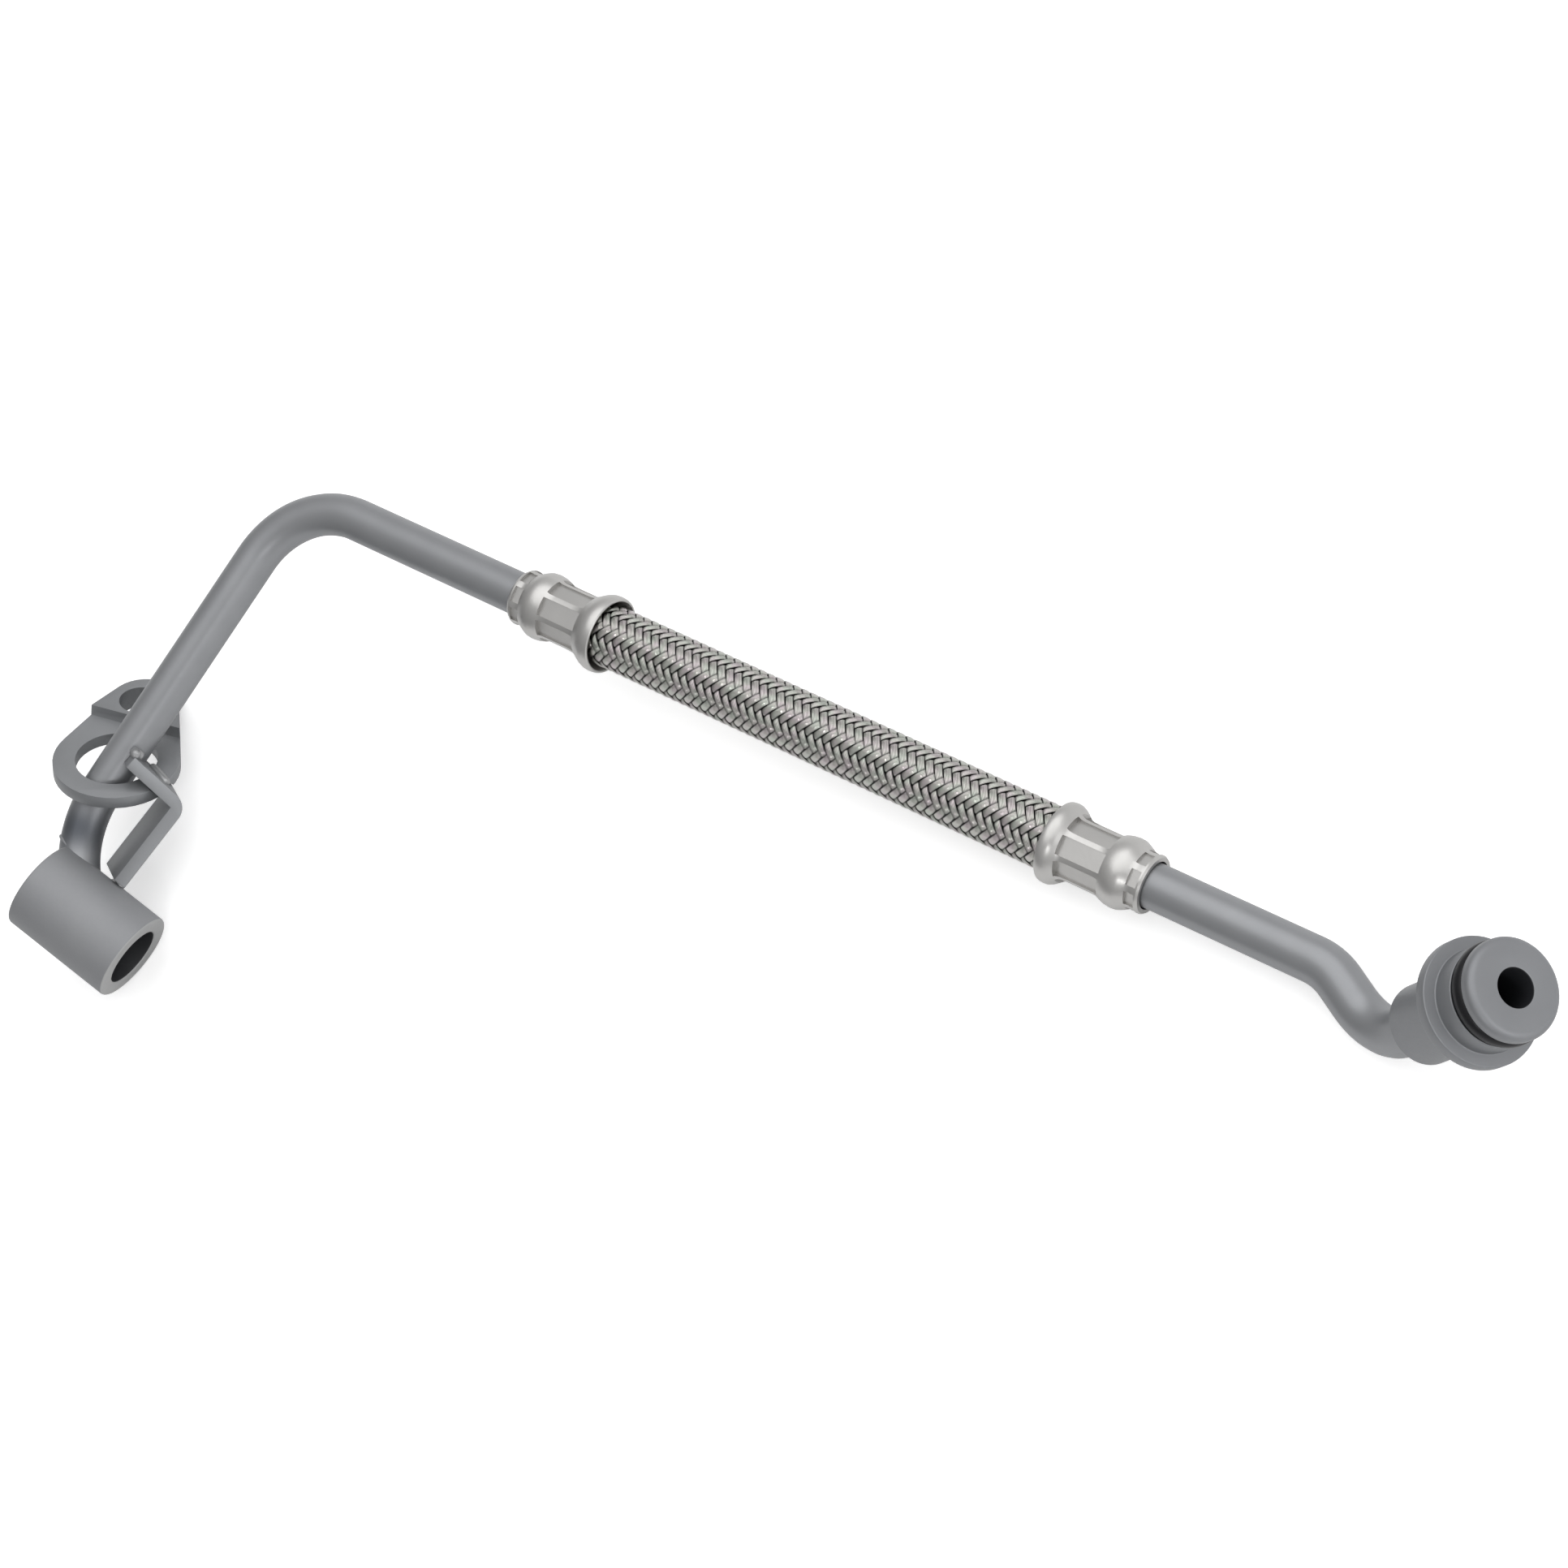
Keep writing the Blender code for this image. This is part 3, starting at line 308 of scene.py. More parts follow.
def grain_group():
    """Fine grain by object place: a sharp speckle and a slow cloudiness."""
    group = bpy.data.node_groups.new("satin_grain", "ShaderNodeTree")
    for noise_name in GRAIN_NOISES:
        group.interface.new_socket(
            f"{noise_name} Scale", in_out="INPUT", socket_type="NodeSocketFloat"
        )
        group.interface.new_socket(
            noise_name, in_out="OUTPUT", socket_type="NodeSocketFloat"
        )
    inlet = group.nodes.new("NodeGroupInput")
    outlet = group.nodes.new("NodeGroupOutput")
    place = group.nodes.new("ShaderNodeTexCoord")
    for noise_name, (detail, roughness) in GRAIN_NOISES.items():
        noise = group.nodes.new("ShaderNodeTexNoise")
        noise.inputs["Detail"].default_value = detail
        noise.inputs["Roughness"].default_value = roughness
        group.links.new(place.outputs["Object"], noise.inputs["Vector"])
        group.links.new(inlet.outputs[f"{noise_name} Scale"], noise.inputs["Scale"])
        group.links.new(noise.outputs["Fac"], outlet.inputs[noise_name])
    return group


satin_grain = grain_group()


def lay_grain(tree, speckle, cloud):
    """The shared grain, at a speckle scale and a cloud scale per metre."""
    grain = tree.nodes.new("ShaderNodeGroup")
    grain.node_tree = satin_grain
    grain.inputs["Speckle Scale"].default_value = speckle
    grain.inputs["Cloud Scale"].default_value = cloud
    return grain


def grained_finish(name, dark, pale, smooth, rough, metallic, speckle, bump, cloud=None):
    """Material whose colour drifts with the cloudiness, and whose gloss and dimples follow
    the speckle."""
    material = bpy.data.materials.new(name)
    material.use_nodes = True
    tree = material.node_tree
    shader = tree.nodes["Principled BSDF"]
    shader.inputs["Metallic"].default_value = metallic
    grain = lay_grain(tree, speckle, cloud or speckle / SPECKLES_PER_CLOUD)
    tint = tree.nodes.new("ShaderNodeMix")
    tint.data_type = "RGBA"
    tint.inputs["A"].default_value = (*dark, 1.0)
    tint.inputs["B"].default_value = (*pale, 1.0)
    gloss = tree.nodes.new("ShaderNodeMapRange")
    gloss.inputs["To Min"].default_value = smooth
    gloss.inputs["To Max"].default_value = rough
    tree.links.new(grain.outputs["Cloud"], tint.inputs["Factor"])
    tree.links.new(grain.outputs["Speckle"], gloss.inputs["Value"])
    tree.links.new(tint.outputs["Result"], shader.inputs["Base Color"])
    tree.links.new(gloss.outputs["Result"], shader.inputs["Roughness"])
    if bump:
        dimple = tree.nodes.new("ShaderNodeBump")
        dimple.inputs["Strength"].default_value = bump
        dimple.inputs["Distance"].default_value = DIMPLE_DEPTH
        tree.links.new(grain.outputs["Speckle"], dimple.inputs["Height"])
        tree.links.new(dimple.outputs["Normal"], shader.inputs["Normal"])
    return material


def paint_dark_reflection(plating, reflection_centre):
    """The plating once more, with a dark reflection painted round a point beside the lower
    bend.
    """
    material = plating.copy()
    material.name = "reflection_painted_plating"
    tree = material.node_tree
    shader = tree.nodes["Principled BSDF"]
    place = tree.nodes.new("ShaderNodeTexCoord")
    away = tree.nodes.new("ShaderNodeVectorMath")
    away.operation = "DISTANCE"
    away.inputs[1].default_value = reflection_centre
    tree.links.new(place.outputs["Object"], away.inputs[0])
    painted_dark = ease(tree, away.outputs["Value"], DARK_REFLECTION_REACH, (DARK_REFLECTION_STRENGTH, 0.0))
    tint = tree.nodes.new("ShaderNodeMix")
    tint.data_type = "RGBA"
    tint.inputs["B"].default_value = DARK_REFLECTION_COLOUR
    tree.links.new(shader.inputs["Base Color"].links[0].from_socket, tint.inputs["A"])
    tree.links.new(painted_dark, tint.inputs["Factor"])
    tree.links.new(tint.outputs["Result"], shader.inputs["Base Color"])
    return material


def dress(piece, material, slot, *nodes_replaced):
    """Give a piece its material, attach it to the root body and hide the CAD nodes that it
    replaces. The slot is not used.
    """
    piece.data.materials.clear()
    piece.data.materials.append(material)
    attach(piece, "root")
    if nodes_replaced:
        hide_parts(*nodes_replaced)
    return piece


tube_plating = grained_finish(
    "tube_plating", dark=(0.262, 0.268, 0.280), pale=(0.302, 0.308, 0.320),
    smooth=0.36, rough=0.46, metallic=0.70, speckle=2600.0, bump=0.25,
)
# Plating with a painted dark reflection round a point beside the lower bend
reflection_painted_plating = paint_dark_reflection(tube_plating, line_frame @ lower_bend + DARK_REFLECTION_OFFSET)

left_end = Vector((TUBE_PAST_SHOULDER - LEFT_FLARE - TUBE_FROM_WAIST, 0.0, 0.0))
left_path = bent_path(
    [foot, lower_bend, upper_bend, left_end], [LEFT_LOWER_BEND_RADIUS, LEFT_UPPER_BEND_RADIUS]
)
left_pipe = draw_tube("left_pipe", left_path)
drill(left_pipe, sleeve_centre, sleeve_axis, SLEEVE_BORE)
settle_mesh(left_pipe)
dress(left_pipe, reflection_painted_plating, "coated_steel", "left_tube")


# Bolt sleeve: turned from bar, bored for its bolt and cross drilled for the tube, with
# its edges broken. It is plated like the tube after brazing, and its ends are worn by the
# bolt's head and the boss. Its bore is painted dark as shade.
SLEEVE_RADIUS = 0.0090
SLEEVE_EDGE = 0.00045
END_FACING = 0.4
DRILL_CLEARANCE = 0.00005
TURNED_SIDES = 96
SHADE_MARGIN = 0.0001


def turn_piece(name, seat, axis, outline):
    """Lathe work: a ring pushed along the axis and opened or closed at each step."""
    bpy.ops.object.select_all(action="DESELECT")
    at, wide = outline[0]
    bpy.ops.mesh.primitive_circle_add(
        vertices=TURNED_SIDES, radius=wide, location=seat + axis * at, rotation=facing(axis)
    )
    piece = bpy.context.object
    piece.name = name
    bpy.ops.object.mode_set(mode="EDIT")
    bpy.ops.mesh.select_all(action="SELECT")
    for next_at, next_wide in outline[1:]:
        push = {"value": axis * (next_at - at)}
        bpy.ops.mesh.extrude_region_move(TRANSFORM_OT_translate=push)
        grow = next_wide / wide
        bpy.ops.transform.resize(
            value=(grow, grow, grow), center_override=seat + axis * next_at
        )
        at, wide = next_at, next_wide
    bpy.ops.mesh.select_all(action="DESELECT")
    bpy.ops.mesh.select_mode(type="EDGE")
    bpy.ops.mesh.select_non_manifold(extend=False)
    bpy.ops.mesh.bridge_edge_loops()
    bpy.ops.mesh.select_mode(type="VERT")
    bpy.ops.mesh.select_all(action="SELECT")
    bpy.ops.mesh.normals_make_consistent(inside=False)
    bpy.ops.object.mode_set(mode="OBJECT")
    return piece


def soften(piece, width, segments=3, angle=35.0):
    """Break the sharp edges with a small round."""
    bevel = piece.modifiers.new("edge_break", "BEVEL")
    bevel.width = width
    bevel.segments = segments
    bevel.limit_method = "ANGLE"
    bevel.angle_limit = math.radians(angle)
    return apply_all(piece)


# Painted shade: a near-black finish for the insides of bores and grooves, where shade falls
painted_bore_shade = grained_finish(
    "painted_bore_shade", dark=(0.008, 0.009, 0.011), pale=(0.020, 0.021, 0.024),
    smooth=0.45, rough=0.60, metallic=0.0, speckle=1500.0, bump=0.30,
)


def paint_shade_inside(piece, seat, axis, radius, start, end):
    """Painted shade: faces nearer the axis than the radius, between two stations, go dark."""
    piece.data.materials.append(painted_bore_shade)
    for face in piece.data.polygons:
        away = face.center - seat
        along = away.dot(axis)
        if start < along < end and (away - axis * along).length < radius:
            face.material_index = len(piece.data.materials) - 1


sleeve_plating = grained_finish(
    "sleeve_plating", dark=(0.245, 0.250, 0.262), pale=(0.285, 0.290, 0.300),
    smooth=0.52, rough=0.66, metallic=0.45, speckle=1500.0, bump=0.45,
)
worn_steel = grained_finish(
    "worn_steel", dark=(0.300, 0.304, 0.308), pale=(0.440, 0.440, 0.438),
    smooth=0.42, rough=0.60, metallic=0.55, speckle=900.0, bump=0.60,
)

half = SLEEVE_LENGTH / 2.0
bolt_sleeve = turn_piece("bolt_sleeve", sleeve_centre, sleeve_axis, [
    (-half, SLEEVE_BORE), (-half, SLEEVE_RADIUS), (half, SLEEVE_RADIUS), (half, SLEEVE_BORE),
])
soften(bolt_sleeve, SLEEVE_EDGE)
drill_way = line_turn @ -LEFT_FOOT.normalized()
drill_middle = line_frame @ foot + drill_way * half
drill(bolt_sleeve, drill_middle, drill_way, TUBE_RADIUS + DRILL_CLEARANCE)
settle_mesh(bolt_sleeve)
dress(bolt_sleeve, sleeve_plating, "coated_steel", "banjo_sleeve")
bolt_sleeve.data.materials.append(worn_steel)
for face in bolt_sleeve.data.polygons:
    if abs(face.normal.dot(sleeve_axis)) > END_FACING:
        face.material_index = 1
# Painted shade inside the sleeve's bore
paint_shade_inside(
    bolt_sleeve, sleeve_centre, sleeve_axis, SLEEVE_BORE + SHADE_MARGIN, -half, half
)


# Bracket: a stamped ring plate with a raised tab, and a flat strap bent to an L that
# ties it to the sleeve. Both start from the CAD shape and have their stamped edges
# rounded, and the plate's tab is filled solid behind.
STAMPED_EDGE = 0.00022
PLATE_THICKNESS = 0.0025
PLATE_NORMAL = Vector((0.0474, 0.6854, 0.7267)).normalized()
PLATE_ACROSS = Vector((0.7503, 0.4558, -0.4788))
PLATE_FROM_LOWER_BEND = 0.01476
PLATE_FACE_MARGIN = 0.0001
TUBE_IN_RING = Vector((0.00069, -0.00159))
TAB_FOLD_DIRECTION = Vector((0.391, 0.920, 0.0)).normalized()
TAB_FOLD_DISTANCE = 0.0104
GROUND_GAP = 0.0003
FLAT_ANGLE = math.radians(3.0)


def square_to(way, axis):
    """The part of a way that is square to an axis, as a unit vector."""
    return (way - axis * way.dot(axis)).normalized()


plate_across = square_to(PLATE_ACROSS, PLATE_NORMAL)
plate_up = PLATE_NORMAL.cross(plate_across)
plate_frame = Matrix((plate_across, plate_up, PLATE_NORMAL)).transposed().to_4x4()
plate_frame.translation = (
    lower_bend - LEFT_LEG.normalized() * PLATE_FROM_LOWER_BEND
    - plate_across * TUBE_IN_RING.x - plate_up * TUBE_IN_RING.y
)
plate_frame = line_frame @ plate_frame
plate_normal = line_turn @ PLATE_NORMAL


def fill_tab(piece):
    """Solid tab: what lies hollow behind it is filled out to the plate's own back, and no
    further down than the ground that the line rests on."""
    least_x, ground = cad_box[0][0], cad_box[0][2]
    for vertex in piece.data.vertices:
        place = plate_frame.inverted() @ vertex.co
        past_fold = place.dot(TAB_FOLD_DIRECTION) > TAB_FOLD_DISTANCE
        if past_fold and -PLATE_THICKNESS < place.z < -PLATE_FACE_MARGIN:
            place.z = -PLATE_THICKNESS
            filled = plate_frame @ place
            sunk = (ground + GROUND_GAP - filled.z) / plate_normal.z
            filled += plate_normal * max(0.0, sunk)
            filled.x = max(filled.x, least_x + GROUND_GAP)
            vertex.co = filled


def cad_copy(name, node):
    """Own copy of a CAD node, free of its parent and notes, with its place in the mesh."""
    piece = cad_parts[node].copy()
    piece.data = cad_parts[node].data.copy()
    for key in list(piece.keys()):
        del piece[key]
    piece.parent = None
    piece.name = name
    bpy.context.scene.collection.objects.link(piece)
    only(piece)
    bpy.ops.object.transform_apply(location=True, rotation=True, scale=True)
    return piece


def stamped_copy(name, node, reshape=None):
    """Copy of a CAD plate, merged into flat faces, with its edges rounded."""
    piece = cad_copy(name, node)
    bpy.ops.object.mode_set(mode="EDIT")
    bpy.ops.mesh.select_all(action="SELECT")
    bpy.ops.mesh.remove_doubles(threshold=MERGE_DISTANCE)
    bpy.ops.mesh.dissolve_limited(angle_limit=FLAT_ANGLE)
    bpy.ops.object.mode_set(mode="OBJECT")
    if reshape:
        reshape(piece)
    soften(piece, STAMPED_EDGE, segments=2, angle=30.0)
    return settle_mesh(piece, sharp_angle=30.0)


bracket_plating = grained_finish(
    "bracket_plating", dark=(0.235, 0.242, 0.252), pale=(0.275, 0.282, 0.292),
    smooth=0.40, rough=0.52, metallic=0.65, speckle=2200.0, bump=0.35,
)

ring_plate = stamped_copy("ring_plate", "bracket_ring_plate", fill_tab)
dress(ring_plate, bracket_plating, "coated_steel", "bracket_ring_plate")
strap_bar = stamped_copy("strap_bar", "bracket_strap")
dress(strap_bar, bracket_plating, "coated_steel", "bracket_strap")


# Welds: short beads that hold the strap, and the braze round the tube's foot. They are
# melted onto the steel beside them, slightly lumpy, and plated with it.
STRAP_UPPER_DIRECTION = Vector((-0.828, 0.260, 0.479)).normalized()
STRAP_LOWER_DIRECTION = Vector((-0.193, -0.980, 0.042)).normalized()
WELD_SPREAD = 0.00045
WELD_SINK = 0.00055
WELD_LUMP = 0.00016
BRAZE_SPREAD = 0.00004
BRAZE_SINK_IN_TUBE = 0.00105
BRAZE_SINK_IN_SLEEVE = 0.00060
BRAZE_LUMP = WELD_LUMP / 3.0
LUMP_SIZE = 0.0013

weld_plating = grained_finish(
    "weld_plating", dark=(0.300, 0.305, 0.310), pale=(0.380, 0.382, 0.385),
    smooth=0.30, rough=0.44, metallic=0.75, speckle=1400.0, bump=0.60,
)
weld_lumps = bpy.data.textures.new("weld_lumps", "CLOUDS")
weld_lumps.noise_scale = LUMP_SIZE

# Each leg's outer face looks away from the other leg
upper_out = line_turn @ -square_to(STRAP_LOWER_DIRECTION, STRAP_UPPER_DIRECTION)
lower_out = line_turn @ -square_to(STRAP_UPPER_DIRECTION, STRAP_LOWER_DIRECTION)


def off_upper_leg(place):
    """Way out of the strap's upper leg, the same at every place."""
    return upper_out


def off_lower_leg(place):
    """Way out of the strap's lower leg, the same at every place."""
    return lower_out


def off_plate(place):
    """Way out of the ring plate's front, the same at every place."""
    return plate_normal


def off_sleeve(place):
    """Way out of the sleeve's round side at a place."""
    return square_to(place - sleeve_centre, sleeve_axis)


def off_tube(place):
    """Way from the nearest point of the left tube's centre line."""
    nearest = None
    for start, end in zip(left_path, left_path[1:]):
        start, end = line_frame @ start, line_frame @ end
        run = end - start
        share = min(1.0, max(0.0, (place - start).dot(run) / run.length_squared))
        off = place - start - run * share
        if nearest is None or off.length < nearest.length:
            nearest = off
    return nearest.normalized()


def melted_copy(name, node, spread, lump, *sides):
    """Bead sunk into the sides that meet at it, swollen onto the steel and made a little
    uneven. Each side comes as its way out and the depth that the bead sinks into it."""
    piece = settle_mesh(cad_copy(name, node), sharp_angle=180.0)
    for vertex in piece.data.vertices:
        vertex.co -= sum((side(vertex.co) * sink for side, sink in sides), Vector())
    swell = piece.modifiers.new("swell", "DISPLACE")
    swell.mid_level = 0.0
    swell.strength = spread
    smooth = piece.modifiers.new("smooth", "SUBSURF")
    smooth.levels = 2
    lumps = piece.modifiers.new("lumps", "DISPLACE")
    lumps.texture = weld_lumps
    lumps.strength = lump
    return apply_all(piece)


for name, node, strap_side, other_side in (
    ("plate_weld", "strap_plate_weld", off_upper_leg, off_plate),
    ("tube_weld", "strap_tube_weld", off_upper_leg, off_tube),
    ("sleeve_weld", "strap_sleeve_weld", off_lower_leg, off_sleeve),
):
    bead = melted_copy(
        name, node, WELD_SPREAD, WELD_LUMP, (strap_side, WELD_SINK), (other_side, WELD_SINK)
    )
    dress(bead, weld_plating, "braze_metal", node)
foot_braze = melted_copy(
    "foot_braze", "tube_sleeve_braze", BRAZE_SPREAD, BRAZE_LUMP,
    (off_tube, BRAZE_SINK_IN_TUBE), (off_sleeve, BRAZE_SINK_IN_SLEEVE),
)
dress(foot_braze, sleeve_plating, "braze_metal", "tube_sleeve_braze")


# Ferrules: drawn stainless shells. Eight jaws press each waist down onto the hose in
# flats with soft ridges between, and a smaller die pinches the collar onto the tube.
HOSE_FREE_LENGTH = 0.0964
RIGHT_FLARE = 0.0042
MOUTH_RADIUS = 0.00725
MOUTH_BORE = 0.0066
WAIST_RADIUS = 0.00565
WAIST_LENGTH = 0.0069
SWELL_RADIUS = 0.00635
SWELL_FROM_WAIST = 0.0096
COLLAR_RADIUS = 0.0052
COLLAR_FROM_WAIST = 0.0124
COLLAR_END = 0.0150
GRIP_BORE = 0.00475
SOCKET_CLEARANCE = 0.0003
# Lip inside the mouth: station and radius over the mouth's bore
LIP = ((0.0003, -0.0001), (0.0, 0.0001))
LIP_DEPTH = 0.0009
# Rolled mouth: share of the flare, and how much narrower than the mouth
MOUTH_ROLL = ((0.0, 0.00035), (0.03, 0.00012), (0.10, 0.00001), (0.22, -0.00005), (0.35, 0.0))
# Flare: share of its length, and share of the way down to the waist
FLARE_FALL = ((0.50, 0.17), (0.64, 0.42), (0.76, 0.68), (0.88, 0.88))
# Waist: share of its length, and how much wider than the waist
WAIST_SWEEP = ((0.0, 0.00006), (0.2, 0.0), (0.8, 0.0), (1.0, 0.00003))
# Swell: distance from its crest, with the share of the rise or the drop below the crest
SWELL_RISE = ((-0.0020, 0.42), (-0.0011, 0.82), (0.0, 1.0))
SWELL_FALL = ((0.0009, 0.00009), (0.0016, 0.00038))
# Collar: distance from its start or from its end, and how much wider than the collar
COLLAR_START_SWEEP = ((-0.0005, 0.00042), (0.0, 0.00012), (0.0008, 0.0))
COLLAR_END_SWEEP = ((-0.0013, 0.00010), (-0.0004, 0.00006), (0.0, -0.00020))
JAWS = 8
JAW_TURN = math.radians(8.0)
CRIMP_FLAT = 0.00508
CRIMP_FLAT_WIDTH = 0.00345
CRIMP_BEFORE_WAIST = 0.0010
CRIMP_PAST_WAIST = 0.0006
COLLAR_FLAT = 0.00472
COLLAR_FLAT_WIDTH = 0.00290
COLLAR_FLAT_LENGTH = 0.0019

hose_axis = line_turn @ Vector((1.0, 0.0, 0.0))


def ferrule_outline(flare):
    """The shell from its inner lip over the rolled mouth, waist, swell and collar."""
    flare_drop = MOUTH_RADIUS - WAIST_RADIUS
    swell_rise = SWELL_RADIUS - WAIST_RADIUS
    swell_at = flare + SWELL_FROM_WAIST
    collar_at = flare + COLLAR_FROM_WAIST
    end = flare + COLLAR_END
    shoulder = flare + TUBE_FROM_WAIST
    socket = TUBE_RADIUS + SOCKET_CLEARANCE
    return [
        (flare - LIP_DEPTH, GRIP_BORE),
        *((at, MOUTH_BORE + wider) for at, wider in LIP),
        *((share * flare, MOUTH_RADIUS - narrower) for share, narrower in MOUTH_ROLL),
        *((share * flare, MOUTH_RADIUS - fall * flare_drop) for share, fall in FLARE_FALL),
        *((flare + share * WAIST_LENGTH, WAIST_RADIUS + wider) for share, wider in WAIST_SWEEP),
        *((swell_at + at, WAIST_RADIUS + rise * swell_rise) for at, rise in SWELL_RISE),
        *((swell_at + at, SWELL_RADIUS - drop) for at, drop in SWELL_FALL),
        *((collar_at + at, COLLAR_RADIUS + wider) for at, wider in COLLAR_START_SWEEP),
        *((end + at, COLLAR_RADIUS + wider) for at, wider in COLLAR_END_SWEEP),
        (end, socket), (shoulder, socket), (shoulder, GRIP_BORE),
    ]


def join_all(pieces):
    """Join the pieces into the first one."""
    bpy.ops.object.select_all(action="DESELECT")
    for piece in pieces:
        piece.select_set(True)
    bpy.context.view_layer.objects.active = pieces[0]
    bpy.ops.object.join()
    return pieces[0]


def press_flats(piece, mouth, axis, start, end, flat_radius, width):
    """Eight jaw blocks around the axis, each pressing one flat into the shell."""
    reach = MOUTH_RADIUS
    up = square_to(line_turn @ Vector((0.0, 0.0, 1.0)), axis)
    out = Matrix.Rotation(JAW_TURN, 3, hose_axis) @ up
    jaws = []
    for jaw in range(JAWS):
        way = Matrix.Rotation(2.0 * math.pi * jaw / JAWS, 3, axis) @ out
        side = axis.cross(way)
        block = Matrix((axis * (end - start), side * width, way * reach)).transposed().to_4x4()
        block.translation = (
            mouth + axis * (start + end) / 2.0 + way * (flat_radius + reach / 2.0)
        )
        bpy.ops.mesh.primitive_cube_add(size=1.0)
        bpy.context.object.matrix_world = block
        jaws.append(bpy.context.object)
    return cut_away(piece, join_all(jaws))


stainless_shell = grained_finish(
    "stainless_shell", dark=(0.44, 0.435, 0.425), pale=(0.57, 0.562, 0.550),
    smooth=0.28, rough=0.42, metallic=1.0, speckle=1500.0, bump=0.30,
)


def make_ferrule(name, node, mouth, axis, flare):
    """One ferrule, turned from its outline and crimped at the waist and the collar."""
    shell = turn_piece(name, mouth, axis, ferrule_outline(flare))
    start, end = flare - CRIMP_BEFORE_WAIST, flare + WAIST_LENGTH + CRIMP_PAST_WAIST
    press_flats(shell, mouth, axis, start, end, CRIMP_FLAT, CRIMP_FLAT_WIDTH)
    start = flare + COLLAR_FROM_WAIST
    end = start + COLLAR_FLAT_LENGTH
    press_flats(shell, mouth, axis, start, end, COLLAR_FLAT, COLLAR_FLAT_WIDTH)
    settle_mesh(shell, sharp_angle=24.0)
    return dress(shell, stainless_shell, "stainless_steel", node)


left_mouth = line_frame @ Vector((0.0, 0.0, 0.0))
right_mouth = line_frame @ Vector((HOSE_FREE_LENGTH, 0.0, 0.0))
make_ferrule("left_crimp_ferrule", "left_ferrule", left_mouth, -hose_axis, LEFT_FLARE)
make_ferrule("right_crimp_ferrule", "right_ferrule", right_mouth, hose_axis, RIGHT_FLARE)


# Braid: twenty-eight flat bands of stainless wire over the hose, fourteen wound each way.
# Each band passes over two and under two of the others, which makes the herringbone.
BRAID_LEAD = 0.0261
BANDS_EACH_WAY = 14
BAND_WIDTH = 0.00128
BAND_THICKNESS = 0.00016
BAND_CROWN = 0.00014
BAND_STEP = 0.00026
BAND_COLUMNS = 6
BAND_SHARP_ANGLE = math.radians(50.0)
BRAID_MIDDLE_RADIUS = 0.00532
BRAID_LIFT = 0.00024
WAVE_STEEPNESS = 2.6
BRAID_TUCK = 0.0022
TUCK_SLOPE = 0.25
BRAID_START = 0.00161
BRAID_START_TURN = math.radians(4.0)
WIRES_IN_BAND = 7
WIRE_RULING_DEPTH = 0.00006
WIRE_RULING_STRENGTH = 0.70
# Painted shade in the valleys between wires: the share of colour left there
WIRE_VALLEY_SHADE = 0.50
WIRE_SPECKLE = 900.0
WIRE_CLOUD = 420.0
WIRE_GLOSS_SPAN = (0.3, 0.7)
WIRE_GLOSS = (0.10, 0.24)
# Painted shade: band sides and the parts tucked under the other hand go towards a near-black
# colour
EDGE_SHADE_WIDTH = 0.13
TUCK_SHADE_SPAN = (0.25, 0.88)
TUCK_SHADE_COLOUR = (0.012, 0.012, 0.013, 1.0)
SHEEN = (
    (0.36, (0.62, 0.65, 0.59, 1.0)),
    (0.50, (0.65, 0.635, 0.60, 1.0)),
    (0.64, (0.67, 0.61, 0.62, 1.0)),
)

band_pitch = BRAID_LEAD / BANDS_EACH_WAY


